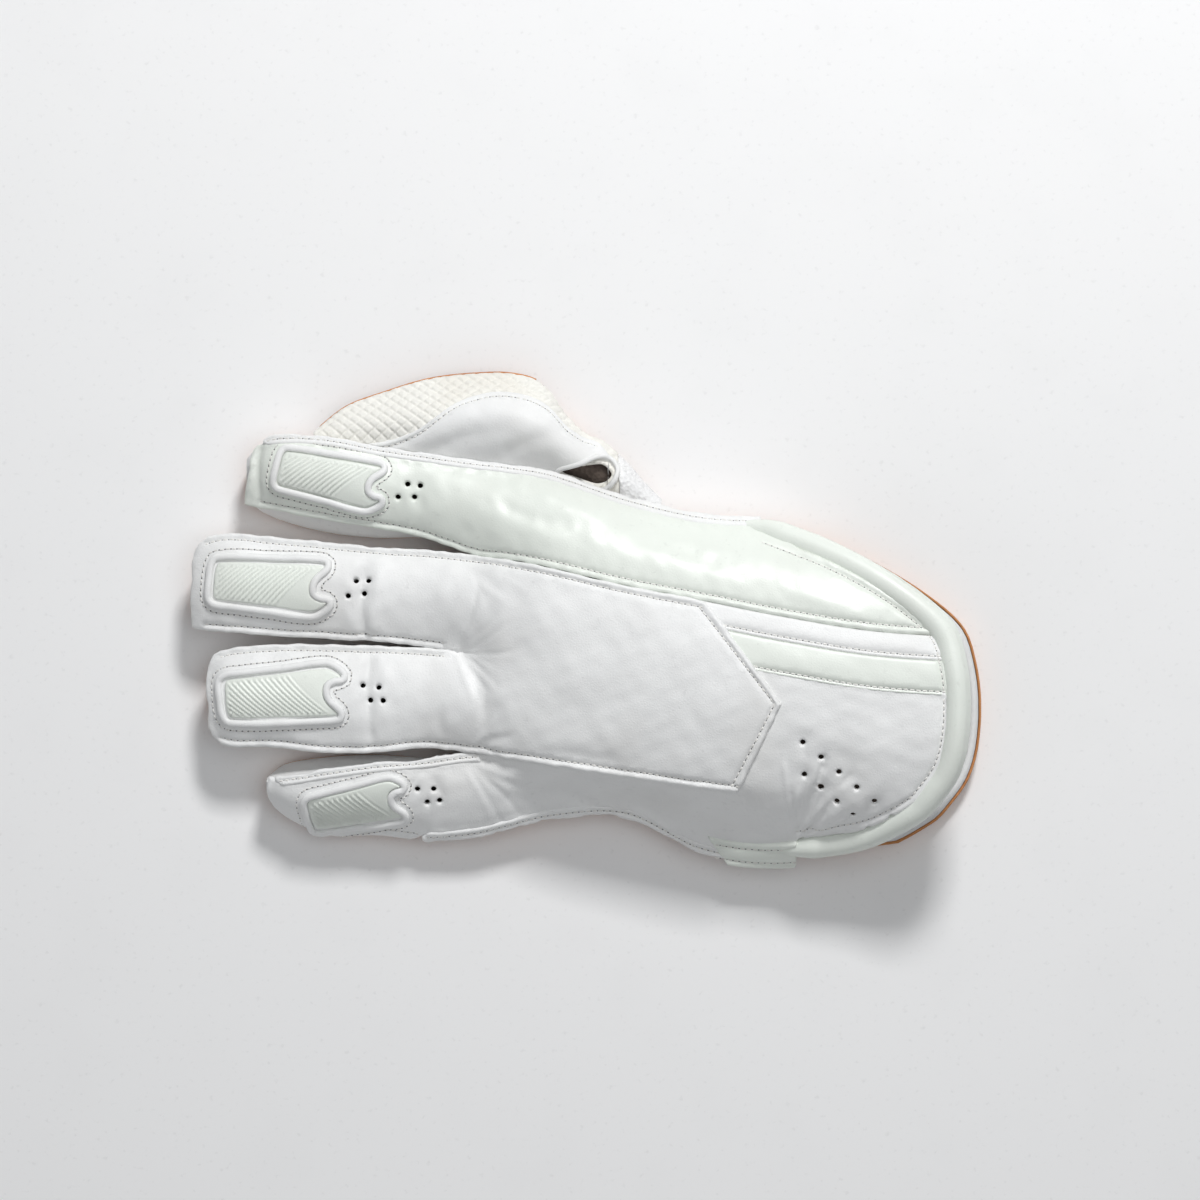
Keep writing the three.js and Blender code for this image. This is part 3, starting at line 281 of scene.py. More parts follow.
@dataclass
class Strip:
    """A run of the glove's back between two edges, with its height over the ground."""

    low_y: Curve
    low_z: Curve
    high_y: Curve
    high_z: Curve
    crown: Curve
    tip: float = 0.0
    power: float = 1.0
    lift: Curve = np.zeros_like
    low_bulge: Curve = np.zeros_like
    high_bulge: Curve = np.zeros_like

    @classmethod
    def of_finger(cls, name: str) -> "Strip":
        """The strip of a finger and the hand behind it.

        Args:
            name: The finger.

        Returns:
            The strip.
        """
        form = FINGERS[name]
        hand = [hand_x(along) for along in HAND_ALONG]
        rows = form.rows[::-1]
        along = [-row.along * form.length for row in rows]
        low_y0, high_y0 = (
            [y * HAND_WIDTH for y in HAND_LINES[line][0]] for line in (form.low_line, form.high_line)
        )
        root = (low_y0[0] + high_y0[0]) / 2

        def side(sign: int, share: str, line: str, hand_y: list[float]) -> tuple[Curve, Curve]:
            """The curves of one edge.

            Args:
                sign: -1 for the low edge, 1 for the high one.
                share: The field of a station that holds its height.
                line: The hand's line that it runs into.
                hand_y: That line's Y.

            Returns:
                Its Y and its Z.
            """
            ys = [root + row.drift * form.length + sign * row.width * form.width / 2 for row in rows]
            zs = [getattr(row, share) * FINGER_HEIGHT for row in rows]
            hand_z = [z * HAND_HEIGHT for z in HAND_LINES[line][1]]
            return curve(along + hand, ys + hand_y), curve(along + hand, zs + hand_z)

        def level(share: str, at_root: float) -> Curve:
            """A height along the finger that ends at its root."""
            values = [getattr(row, share) * FINGER_HEIGHT for row in rows]
            return raised(curve([*along, 0.0], [*values, at_root]))

        low_y, low_z = side(-1, "low_z", form.low_line, low_y0)
        high_y, high_z = side(1, "high_z", form.high_line, high_y0)
        crowns = [row.crown * FINGER_HEIGHT for row in rows] + [c * HAND_HEIGHT for c in HAND_CROWNS[name]]
        return cls(
            low_y, low_z, high_y, high_z, curve(along + hand, crowns), tip=-form.length,
            lift=level("lift", PALM_ROWS["lift"][0] * HAND_HEIGHT),
            low_bulge=level("low_bulge", 0.0), high_bulge=level("high_bulge", 0.0),
        )

    def share(self, x: Array, y: Array) -> Array:
        """How far across the strip each place lies, 0 to 1 between its edges."""
        low, high = self.low_y(x), self.high_y(x)
        return (y - low) / np.maximum(high - low, 1.0)

    def height(self, x: Array, y: Array) -> Array:
        """The height of the strip's face, run on past its edges.

        Args:
            x: Places on X.
            y: Places on Y.

        Returns:
            The heights.
        """
        t = self.share(x, y)
        held = np.clip(t, 0, 1)
        arch = np.sin(np.pi * held) ** self.power
        if self.power == 1.0:
            arch = arch + np.pi * np.where(t < 0, t, np.where(t > 1, 1 - t, 0))
        return self.low_z(x) + (self.high_z(x) - self.low_z(x)) * t + self.crown(x) * arch


STRIPS = {name: Strip.of_finger(name) for name in FINGERS}


@dataclass
class Back:
    """Neighbouring strips as one soft face, without a crease where they meet."""

    strips: Sequence[Strip]
    soften: float = 0.0

    def _raw(self, x: Array, y: Array) -> Array:
        """The height of whichever strip each place lies on.

        Args:
            x: Places on X.
            y: Places on Y.

        Returns:
            The heights.
        """
        z = self.strips[0].height(x, y)
        for low, high in zip(self.strips, self.strips[1:]):
            seam = (low.high_y(x) + high.low_y(x)) / 2
            z = np.where(y > seam, high.height(x, y), z)
        return z

    def height(self, x: Array, y: Array) -> Array:
        """The softened height at each place.

        Args:
            x: Places on X.
            y: Places on Y.

        Returns:
            The heights.
        """
        if not self.soften:
            return self._raw(x, y)
        reach = self.soften * ease(x, CROTCH, CROTCH + 20)
        steps = ((-1.0, 0.1), (-0.6, 0.2), (-0.2, 0.2), (0.2, 0.2), (0.6, 0.2), (1.0, 0.1))
        return sum(weight * self._raw(x, y + step * reach) for step, weight in steps)


def table(*columns: Array) -> Array:
    """Arrays side by side, as the columns of one table of points."""
    return np.stack(columns, axis=1)


def unit(vectors: Array) -> Array:
    """Vectors brought to a length of one."""
    return vectors / np.maximum(np.linalg.norm(vectors, axis=1, keepdims=True), 1e-9)


def travel(points: Array) -> Array:
    """How far along a line each of its points lies."""
    return np.concatenate([[0.0], np.cumsum(np.linalg.norm(np.diff(points, axis=0), axis=1))])


def resample(line: Array, pitch: float, closed: bool = False) -> Array:
    """A line's points at an even pitch.

    Args:
        line: Points, two or three numbers each.
        pitch: The wanted distance between points.
        closed: Whether the line joins back to its start, in which case the start isn't repeated.

    Returns:
        The new points.
    """
    points = np.vstack([line, line[:1]]) if closed else np.asarray(line, float)
    reach = travel(points)
    count = max(3, round(reach[-1] / pitch))
    at = np.linspace(0, reach[-1], count + 1)
    made = np.stack([np.interp(at, reach, points[:, k]) for k in range(points.shape[1])], axis=1)
    return made[:-1] if closed else made


def rounded(points: Iterable[tuple[float, float]], pitch: float = 1.0, closed: bool = False) -> Array:
    """A smooth line through a few points, resampled evenly.

    Args:
        points: The few points.
        pitch: The wanted distance between points.
        closed: Whether it is a loop.

    Returns:
        The line's points.
    """
    given = np.array(list(points), float)
    ring = np.vstack([given[-2:], given, given[:2]]) if closed else given
    reach = travel(ring)
    start, end = (reach[2], reach[-2]) if closed else (0.0, reach[-1])
    at = np.linspace(start, end, max(8, int((end - start) / 0.5)))
    line = np.stack([curve(reach, ring[:, k])(at) for k in range(2)], axis=1)
    return resample(line[:-1] if closed else line, pitch, closed)


def normals_2d(line: Array, closed: bool = False) -> Array:
    """The unit normal to the left of a line at each of its points.

    Args:
        line: Points of the plan.
        closed: Whether the line is a loop.

    Returns:
        The normals.
    """
    if closed:
        run = np.roll(line, -1, axis=0) - np.roll(line, 1, axis=0)
    else:
        run = np.gradient(line, axis=0)
    run = unit(run)
    return table(-run[:, 1], run[:, 0])


def normals_3d(surface: HeightField, x: Array, y: Array, step: float) -> Array:
    """The unit normal of a surface at each place.

    Args:
        surface: Its height over the plan.
        x: Places on X.
        y: Places on Y.
        step: How far to either side the slope is taken.

    Returns:
        The normals.
    """
    dx = (surface(x + step, y) - surface(x - step, y)) / (2 * step)
    dy = (surface(x, y + step) - surface(x, y - step)) / (2 * step)
    return unit(table(-dx, -dy, np.ones_like(dx)))


def grown(loop: Array, by: float) -> Array:
    """A closed loop moved outwards by a distance.

    Args:
        loop: Points of the plan.
        by: The distance.

    Returns:
        The new loop.
    """
    side = normals_2d(loop, True)
    outward = np.sign(((loop - loop.mean(0)) * side).sum(1).mean())
    return loop + side * outward * by


def distance(points: Array, lines: Sequence[Array]) -> Array:
    """The distance from each point to the nearest of some open lines.

    Args:
        points: Places in the plan.
        lines: The lines.

    Returns:
        A distance for each point.
    """
    starts = np.concatenate([line[:-1] for line in lines])
    run = np.concatenate([line[1:] for line in lines]) - starts
    square = (run**2).sum(1) + 1e-12
    best = np.empty(len(points))
    batch = 3000
    for i in range(0, len(points), batch):
        offset = points[i:i + batch, None] - starts[None]
        t = np.clip((offset * run).sum(2) / square, 0, 1)
        best[i:i + batch] = np.sqrt(((offset - t[..., None] * run) ** 2).sum(2).min(1))
    return best


def inside(points: Array, loop: Array) -> Array:
    """Which points lie within a closed outline.

    Args:
        points: Places in the plan.
        loop: The outline.

    Returns:
        Whether each point does.
    """
    ends = np.roll(loop, -1, axis=0)
    found = np.zeros(len(points), bool)
    batch = 3000
    for i in range(0, len(points), batch):
        x, y = points[i:i + batch, 0, None], points[i:i + batch, 1, None]
        spans = (loop[:, 1] > y) != (ends[:, 1] > y)
        drop = np.where(ends[:, 1] == loop[:, 1], 1e-9, ends[:, 1] - loop[:, 1])
        crossing = loop[:, 0] + (y - loop[:, 1]) / drop * (ends[:, 0] - loop[:, 0])
        found[i:i + batch] = (spans & (x < crossing)).sum(1) % 2 == 1
    return found


def closed_line(loop: Array) -> Array:
    """A loop with its start repeated at its end."""
    return np.vstack([loop, loop[:1]])


def soft_noise(x: Array, y: Array, seed: int, reach: float) -> Array:
    """A smooth unevenness between about -1 and 1, without a pattern that repeats.

    Args:
        x: Places on X.
        y: Places on Y.
        seed: Which unevenness.
        reach: The width of its swells.

    Returns:
        A value for each place.
    """
    rng = np.random.default_rng(seed)
    total = np.zeros(np.broadcast(x, y).shape)
    waves = 14
    for _ in range(waves):
        angle, phase, scale = rng.uniform(0, 2 * np.pi), rng.uniform(0, 2 * np.pi), rng.uniform(0.6, 1.7)
        along = (x * math.cos(angle) + y * math.sin(angle)) * scale * np.pi / reach
        total = total + np.sin(along + phase)
    return total / math.sqrt(waves)


class Mesh:
    """Points and faces of one piece, in millimetres, until it becomes a Blender object."""

    def __init__(self) -> None:
        """Starts empty."""
        self.points: list[Array] = []
        self.faces: list[tuple[int, ...]] = []
        self.slots: list[int] = []
        self.count = 0

    def add(self, points: Array, faces: Iterable[Sequence[int]], slot: int = 0) -> int:
        """Adds points with the faces among them.

        Args:
            points: Points, three numbers each.
            faces: Indices into those points.
            slot: The material slot of the faces.

        Returns:
            The index of the first added point.
        """
        start = self.count
        self.points.append(np.asarray(points, float))
        self.count += len(points)
        made = [tuple(int(i) + start for i in face) for face in faces]
        self.faces.extend(made)
        self.slots.extend([slot] * len(made))
        return start

    def join(self, faces: Iterable[Sequence[int]], slot: int = 0) -> None:
        """Adds faces among points that are already there.

        Args:
            faces: Indices into all points.
            slot: The material slot of the faces.
        """
        made = [tuple(int(i) for i in face) for face in faces]
        self.faces.extend(made)
        self.slots.extend([slot] * len(made))

    def drop(self, test: Callable[[Array], Array]) -> None:
        """Removes the faces whose middle point passes a test.

        Args:
            test: Tells which points pass.
        """
        points = np.vstack(self.points)
        middles = np.array([points[list(face)].mean(0) for face in self.faces])
        keep = ~test(middles)
        self.faces = [face for face, kept in zip(self.faces, keep) if kept]
        self.slots = [slot for slot, kept in zip(self.slots, keep) if kept]

    def build(self, name: str, materials: Sequence[Material]) -> bpy.types.Object:
        """Makes the Blender object in the frame.

        Args:
            name: The piece's name.
            materials: One material for each slot.

        Returns:
            The new object.
        """
        points = np.vstack(self.points)
        if max(max(face) for face in self.faces) >= len(points):
            raise ValueError(f"{name}: a face names a point that isn't there")
        data = bpy.data.meshes.new(name)
        data.from_pydata([tuple(p) for p in (points + PLAN_SHIFT) * MM], [], self.faces)
        data.polygons.foreach_set("material_index", self.slots)
        data.polygons.foreach_set("use_smooth", [True] * len(data.polygons))
        for material in materials:
            data.materials.append(material)
        edit = bmesh.new()
        edit.from_mesh(data)
        bmesh.ops.delete(edit, geom=[v for v in edit.verts if not v.link_faces], context="VERTS")
        bmesh.ops.recalc_face_normals(edit, faces=edit.faces)
        edit.to_mesh(data)
        edit.free()
        piece = bpy.data.objects.new(name, data)
        bpy.context.scene.collection.objects.link(piece)
        return piece


# Where the plan's origin lies in the frame, in millimetres
PLAN_SHIFT = np.array([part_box("palm")[0].x / MM - GAP / 2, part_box("web")[1].y / MM - WEB_TOP_Y, 0.0])


def dress(piece: bpy.types.Object, slot: str, *nodes: str) -> bpy.types.Object:
    """Rides a piece on the glove and lets it stand for CAD nodes.

    Args:
        piece: The piece.
        slot: Not used.
        nodes: The CAD nodes that it stands for.

    Returns:
        The piece.
    """
    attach(piece, BODY)
    if nodes:
        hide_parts(*nodes)
    log.info("%s: %d faces", piece.name, len(piece.data.polygons))
    return piece


def grid_faces(rows: int, columns: int, closed: bool = False) -> list[tuple[int, int, int, int]]:
    """The quads of a grid of points, row by row."""
    last = columns if closed else columns - 1
    return [
        (i * columns + j, i * columns + (j + 1) % columns,
         (i + 1) * columns + (j + 1) % columns, (i + 1) * columns + j)
        for i in range(rows - 1) for j in range(last)
    ]


def tube_faces(rows: int, sides: int) -> list[tuple[int, ...]]:
    """The quads round a tube, then the two faces that close its ends."""
    return [*grid_faces(rows, sides, True), tuple(range(sides)), tuple(range((rows - 1) * sides, rows * sides))]


def side_faces(first: int, second: int, rows: int, columns: int) -> list[tuple[int, ...]]:
    """The quads along the two long edges of a shell.

    Args:
        first: The first point of the outer grid.
        second: The first point of the inner grid.
        rows: How many rows each grid has.
        columns: How many points a row has.

    Returns:
        The faces.
    """
    return [
        (first + i * columns + side, first + (i + 1) * columns + side,
         second + (i + 1) * columns + side, second + i * columns + side)
        for side in (0, columns - 1) for i in range(rows - 1)
    ]


def row_faces(first: int, second: int, columns: int) -> list[tuple[int, ...]]:
    """The quads between a row of the outer grid and the same row of the inner one."""
    return [(first + j, first + j + 1, second + j + 1, second + j) for j in range(columns - 1)]


def lid_faces(start: int, columns: int) -> list[tuple[int, ...]]:
    """The quads that close a row like a lid, from its two ends to its middle."""
    return [(start + j, start + j + 1, start + columns - 2 - j, start + columns - 1 - j)
            for j in range(columns // 2) if len({j, j + 1, columns - 2 - j, columns - 1 - j}) == 4]


def sweep(mesh: Mesh, line: Array, up: Array, profile: Callable[[float], Array], closed: bool = False) -> None:
    """Sweeps a closed profile along a line in space.

    Args:
        mesh: Receives the points and faces.
        line: Points in space.
        up: The direction away from the surface at each point.
        profile: The section at a share of the length, as points (across, up).
        closed: Whether the line is a loop.
    """
    run = np.roll(line, -1, axis=0) - np.roll(line, 1, axis=0) if closed else np.gradient(line, axis=0)
    run = unit(run)
    side = unit(np.cross(up, run))
    lift = np.cross(run, side)
    rows = []
    for i, point in enumerate(line):
        section = profile(i / (len(line) - 1))
        rows.append(point + section[:, :1] * side[i] + section[:, 1:] * lift[i])
    columns = len(rows[0])
    faces = tube_faces(len(rows), columns)
    if closed:
        last = (len(rows) - 1) * columns
        faces[-2:] = [(last + j, last + (j + 1) % columns, (j + 1) % columns, j) for j in range(columns)]
    mesh.add(np.vstack(rows), faces)


def ellipse(width: float, height: float, sides: int = 12) -> Array:
    """An ellipse's points (across, up)."""
    angle = np.linspace(0, 2 * np.pi, sides, endpoint=False)
    return table(np.cos(angle) * width / 2, np.sin(angle) * height / 2)


@dataclass
class Fold:
    """A crease or a soft ridge along a line of the plan. A negative depth stands proud."""

    line: Array
    depth: float
    width: float

    def press(self, points: Array) -> Array:
        """How far the fold presses in at each point.

        Args:
            points: Places in the plan.

        Returns:
            The depths.
        """
        reach = 3 * self.width
        low, high = self.line.min(0) - reach, self.line.max(0) + reach
        close = ((points > low) & (points < high)).all(1)
        pressed = np.zeros(len(points))
        some = points[close]
        if len(some):
            ends = np.minimum(
                np.linalg.norm(some - self.line[0], axis=1), np.linalg.norm(some - self.line[-1], axis=1)
            )
            near = distance(some, [self.line])
            pressed[close] = self.depth * np.exp(-((near / self.width) ** 2)) * ease(ends, -self.width, reach)
        return pressed


def crease(points: Iterable[tuple[float, float]], depth: float, width: float) -> Fold:
    """A fold along a smooth line through a few points."""
    return Fold(rounded(points), depth, width)


def fan(origin: tuple[float, float], turns: tuple[float, float], reach: float, count: int, depth: float,
        seed: int) -> list[Fold]:
    """Fine wrinkles that spread from one place.

    Args:
        origin: Where they start in the plan.
        turns: The directions of the first and the last in degrees.
        reach: About how long they are.
        count: How many there are.
        depth: How deep the deepest is.
        seed: Which unevenness.

    Returns:
        The folds.
    """
    rng = np.random.default_rng(seed)
    folds = []
    for i, turn in enumerate(np.linspace(*turns, count)):
        angle = math.radians(turn + rng.normal(0, 2.5))
        bend = math.radians(rng.uniform(-16, 16))
        length = reach * rng.uniform(0.55, 1.15)
        line = []
        for share in (0.12, 0.4, 0.7, 1.0):
            a = angle + bend * share
            line.append((origin[0] + math.cos(a) * length * share, origin[1] + math.sin(a) * length * share))
        sign = 1 if i % 2 else -0.7
        folds.append(crease(line, sign * depth * rng.uniform(0.5, 1.0), rng.uniform(0.9, 1.5)))
    return folds


@dataclass
class Panel:
    """A piece cut to an outline and laid over a surface, with soft edges, seams and folds."""

    name: str
    outline: Array
    surface: HeightField
    rise: float = 0.0
    wall: float = BACK_WALL
    holes: Sequence[Array] = ()
    seams: Sequence[Array] = ()
    folds: Sequence[Fold] = ()
    relief: Callable[[Array], Array] | None = None
    spacing: float = 1.2
    fine: float = 0.9
    edge: float = 0.8
    puff: float = 0.5
    puff_reach: float = 5.0
    seam_depth: float = 0.75
    seam_width: float = 0.7
    welt: float = 0.0
    uneven: float = 0.16
    wobble: float = 0.0
    seed: int = 1

    def __post_init__(self) -> None:
        """Settles the loops that the outline and the holes make."""
        self.outline = resample(self.outline, self.fine, closed=True)
        self.seams = list(self.seams)
        if self.wobble:
            shift = soft_noise(self.outline[:, 0], self.outline[:, 1], self.seed + 9, 5.0) * self.wobble
            self.outline = self.outline + normals_2d(self.outline, closed=True) * shift[:, None]
        self.loops = [self.outline, *(resample(hole, self.fine * 0.6, closed=True) for hole in self.holes)]
        self.rims = [closed_line(loop) for loop in self.loops]

    def _rounding(self, rim: Array) -> Array:
        """How far the edge's rounding drops the face at a distance from the rim."""
        t = 1 - np.clip(rim / self.edge, 0, 1)
        return self.edge * (1 - np.sqrt(np.maximum(1 - t * t, 0)))

    def face(self, points: Array) -> tuple[Array, Array]:
        """The finished face over some plan points.

        Args:
            points: Places in the plan.

        Returns:
            The points of the face and the normals of the surface there.
        """
        x, y = points[:, 0], points[:, 1]
        rim = distance(points, self.rims)
        up = np.full(len(points), self.rise) + self.puff * (1 - np.exp(-rim / self.puff_reach))
        up -= self._rounding(rim)
        if self.welt:
            outer = distance(points, self.rims[:1])
            ragged = 1 + 0.35 * soft_noise(x, y, self.seed + 70, 3.0)
            up += self.welt * ragged * np.exp(-(((outer - 1.2) / 0.9) ** 2))
        if self.seams:
            up -= self.seam_depth * np.exp(-((distance(points, self.seams) / self.seam_width) ** 2))
        for fold in self.folds:
            up -= fold.press(points)
        up += self.uneven * soft_noise(x, y, self.seed, 16.0) * ease(rim, 0, 6)
        up += 0.35 * self.uneven * soft_noise(x, y, self.seed + 50, 5.0) * ease(rim, 0, 3)
        if self.relief:
            up += self.relief(points)
        normal = normals_3d(self.surface, x, y, 0.4)
        base = table(x, y, self.surface(x, y))
        return base + normal * up[:, None], normal

    def _inner_points(self) -> Array:
        """Plan points inside the outline, finer along its rim and its seams."""
        wanted = []
        for loop in self.loops:
            normal = normals_2d(loop, closed=True)
            for step in (0.35, 0.85, 1.6):
                wanted += [loop + normal * step, loop - normal * step]
        for seam in self.seams:
            line = resample(seam, self.fine * 1.2)
            normal = normals_2d(line)
            wanted += [line + normal * step for step in (-1.0, -0.45, 0.0, 0.45, 1.0)]
        near = np.vstack(wanted)
        near = near[inside(near, self.outline)]
        rim = distance(near, self.rims)
        near = near[rim > 0.28]
        low, high = self.outline.min(0), self.outline.max(0)
        xs = np.arange(low[0], high[0], self.spacing)
        ys = np.arange(low[1], high[1], self.spacing * 0.87)
        gx, gy = np.meshgrid(xs, ys)
        gx[1::2] += self.spacing / 2
        far = table(gx.ravel(), gy.ravel())
        far = far[inside(far, self.outline)]
        lines = [*self.rims, *self.seams]
        far = far[distance(far, lines) > 1.6 + self.spacing * 0.3]
        found = np.vstack([near, far])
        for hole in self.loops[1:]:
            found = found[~inside(found, hole)]
        cells, first = np.unique(np.round(found / 0.3).astype(int), axis=0, return_index=True)
        return found[np.sort(first)]

    def mesh(self) -> Mesh:
        """The panel's closed mesh: slot 0 on its face and rim, slot 1 on its underside."""
        loops = np.vstack(self.loops)
        points = np.vstack([loops, self._inner_points()])
        edges, start = [], 0
        for loop in self.loops:
            count = len(loop)
            edges += [(start + i, start + (i + 1) % count) for i in range(count)]
            start += count
        flat, _, faces, origins, _, _ = delaunay_2d_cdt([Vector(p) for p in points], edges, [], 0, 1e-4, True)
        plan = np.array([tuple(p) for p in flat])
        new_index = {old: new for new, olds in enumerate(origins) for old in olds}
        triangles = np.array([tuple(face) for face in faces])
        middles = plan[triangles].mean(1)
        kept = inside(middles, self.outline)
        for hole in self.loops[1:]:
            kept &= ~inside(middles, hole)
        triangles = triangles[kept]
        top, normal = self.face(plan)
        rim = distance(plan, self.rims)
        base = table(plan[:, 0], plan[:, 1], self.surface(plan[:, 0], plan[:, 1]))
        depth = self.wall - np.minimum(self._rounding(rim), self.wall * 0.4)
        under = base - normal * depth[:, None]
        made = Mesh()
        first = made.add(top, triangles)
        second = made.add(under, triangles[:, ::-1], 1)
        sides = []
        for a, b in edges:
            i, j = new_index[a], new_index[b]
            sides.append((first + j, first + i, second + i, second + j))
        made.join(sides)
        return made

    def build(self, materials: Sequence[Material], slot: str, *nodes: str) -> bpy.types.Object:
        """Makes the panel and dresses it."""
        return dress(self.mesh().build(self.name, materials), slot, *nodes)


@dataclass
class Stitching:
    """Rows of stitches that lie on panels."""

    name: str
    pitch: float = STITCH_PITCH
    length: float = STITCH_LENGTH
    thread: float = THREAD
    mesh: Mesh = field(default_factory=Mesh)
    sewn: int = 0

    def row(self, panel: Panel, line: Array) -> None:
        """Sews one row along a plan line of a panel.

        Args:
            panel: The panel.
            line: Points of the plan.
        """
        marks = resample(line, self.pitch)
        ahead = marks + np.gradient(marks, axis=0) * 0.1
        middle, normal = panel.face(marks)
        further, _ = panel.face(ahead)
        run = unit(further - middle)
        side = np.cross(normal, run)
        stations = ((-0.5, 0.3, -0.12), (-0.34, 0.9, 0.1), (0.0, 1.0, 0.2), (0.34, 0.9, 0.1), (0.5, 0.3, -0.12))
        sides = 6
        ring = ellipse(self.thread, self.thread * 0.8, sides)
        template = np.array([
            (at * self.length, across * size, up * size + sunk)
            for at, size, sunk in stations for across, up in ring
        ])
        faces, shade_disc_faces = tube_faces(len(stations), sides), tube_faces(3, sides)
        # Flat dark discs between the stitches, in slot 1: painted shade where the needle holes and the dips
        # between stitches fall dark
        hole = np.array([(at * 0.75, across * size, up * size * 0.5 + 0.02)
                         for at, size in ((-0.5, 0.5), (0.0, 1.25), (0.5, 0.5)) for across, up in ring])
        rng = np.random.default_rng(len(marks) + self.sewn)
        for i in range(len(marks)):
            wander = rng.normal(0, 0.07, 2)
            local = template * (1 + rng.normal(0, 0.05), 1, 1)
            centre = middle[i] + run[i] * wander[0] + side[i] * wander[1]
            points = centre + local[:, :1] * run[i] + local[:, 1:2] * side[i] + local[:, 2:] * normal[i]
            self.mesh.add(points, faces)
            if i + 1 < len(marks):
                # A painted shade disc between this stitch and the next
                between = (middle[i] + middle[i + 1]) / 2
                self.mesh.add(between + hole[:, :1] * run[i] + hole[:, 1:2] * side[i] + hole[:, 2:] * normal[i],
                              shade_disc_faces, 1)
        self.sewn += len(marks)

    def build(self, finishes: "Finishes", slot: str) -> bpy.types.Object:
        """Makes the stitches one piece, with flat dark discs between them: painted shade of the needle holes."""
        return dress(self.mesh.build(self.name, [finishes.thread, finishes.painted_hole_shade]), slot)


class Kind(Enum):
    """The surface relief of a finish."""

    LEATHER = "leather"
    COATED = "coated leather"
    DIAMOND = "rubber with diamonds"
    PIMPLED = "rubber with pimples"
    KNIT = "knitted mesh"
    THREAD = "thread"
    FLOOR = "floor"


def node_of(tree: NodeTree, kind: str, values: dict[str | int, object] | None = None,
            **settings: str) -> bpy.types.Node:
    """A shader node with its sockets set or linked.

    Args:
        tree: The material's nodes.
        kind: The node's type, without the words that every shader node's type starts with.
        values: What each socket gets: a value, or another node's output.
        settings: The node's own options.

    Returns:
        The node.
    """
    node = tree.nodes.new(f"ShaderNode{kind}")
    for name, setting in settings.items():
        setattr(node, name, setting)
    for name, value in (values or {}).items():
        if isinstance(value, Socket):
            tree.links.new(value, node.inputs[name])
        else:
            node.inputs[name].default_value = value
    return node


def noise(tree: NodeTree, place: Socket, scale: float, detail: float) -> Socket:
    """A noise's value in object space."""
    return node_of(tree, "TexNoise", {"Scale": scale, "Detail": detail, "Vector": place}).outputs["Fac"]


def cells(tree: NodeTree, place: Socket, scale: float, feature: str) -> Socket:
    """A cell texture's distance in object space."""
    return node_of(tree, "TexVoronoi", {"Scale": scale, "Vector": place}, feature=feature).outputs["Distance"]


@dataclass(frozen=True)
class Finish:
    """A finish and the material that it makes."""

    name: str
    kind: Kind
    colour: tuple[float, float, float]
    stain: tuple[float, float, float]
    roughness: float
    coat: float = 0.0
    grain: float = 0.2

    def material(self) -> Material:
        """Builds the finish's nodes."""
        made = bpy.data.materials.new(self.name)
        made.use_nodes = True
        tree = made.node_tree
        shader = tree.nodes["Principled BSDF"]
        shader.inputs["Coat Weight"].default_value = self.coat
        shader.inputs["Coat Roughness"].default_value = COAT_ROUGHNESS
        shader.inputs["Base Color"].default_value = (*self.colour, 1.0)
        place = node_of(tree, "TexCoord").outputs["Object"]
        cloud = noise(tree, place, 26.0, 3.0)
        fleck = noise(tree, place, 420.0, 2.0)
        stained = self._mix(tree, cloud, (0.46, 0.72), (*self.colour, 1.0), self.stain)
        darker = tuple(channel * 0.93 for channel in self.colour)
        speckled = self._mix(tree, fleck, (0.6, 0.78), stained, darker)
        tree.links.new(speckled, shader.inputs["Base Color"])
        rough = node_of(tree, "MapRange", {"To Min": self.roughness - 0.06, "To Max": self.roughness + 0.1,
                                           "Value": cloud})
        tree.links.new(rough.outputs["Result"], shader.inputs["Roughness"])
        source, reach = self._relief(tree, place)
        bump = node_of(tree, "Bump", {"Strength": self.grain, "Distance": reach, "Height": source})
        tree.links.new(bump.outputs["Normal"], shader.inputs["Normal"])
        return made

    @staticmethod
    def _mix(tree: NodeTree, source: Socket, span: tuple[float, float], first: tuple[float, ...] | Socket,
             second: tuple[float, ...]) -> Socket:
        """Two colours mixed by a soft threshold of a noise.

        Args:
            tree: The material's nodes.
            source: The noise.
            span: Where the threshold starts and ends.
            first: The colour below it.
            second: The colour above it.

        Returns:
            The mixed colour.
        """
        share = node_of(tree, "MapRange", {"From Min": span[0], "From Max": span[1], "Value": source},
                        interpolation_type="SMOOTHSTEP")
        mixed = node_of(tree, "Mix", {6: first, 7: (*second, 1.0), 0: share.outputs["Result"]},
                        data_type="RGBA")
        return mixed.outputs[2]

    def _relief(self, tree: NodeTree, place: Socket) -> tuple[Socket, float]:
        """The grain, pimples or knit of the finish.

        Args:
            tree: The material's nodes.
            place: The place on the piece.

        Returns:
            The relief's height, and how far it reaches in metres.
        """
        if self.kind in (Kind.THREAD, Kind.FLOOR):
            return noise(tree, place, 900.0, 2.0), 0.0002
        if self.kind is Kind.PIMPLED:
            return cells(tree, place, 520.0, "F1"), 0.0006
        if self.kind is Kind.KNIT:
            return cells(tree, place, 620.0, "F1"), 0.0007
        pores = cells(tree, place, 900.0, "DISTANCE_TO_EDGE")
        creases = noise(tree, place, 130.0, 5.0)
        both = node_of(tree, "Math", {0: pores, 1: 0.5, 2: creases}, operation="MULTIPLY_ADD")
        return both.outputs[0], 0.0007


def coat_of(name: str, kind: Kind, *look: object) -> Material:
    """A field that holds a finish's material, from its name, kind, colour, stain, roughness, coat and grain."""
    return field(default_factory=Finish(name, kind, *look).material)


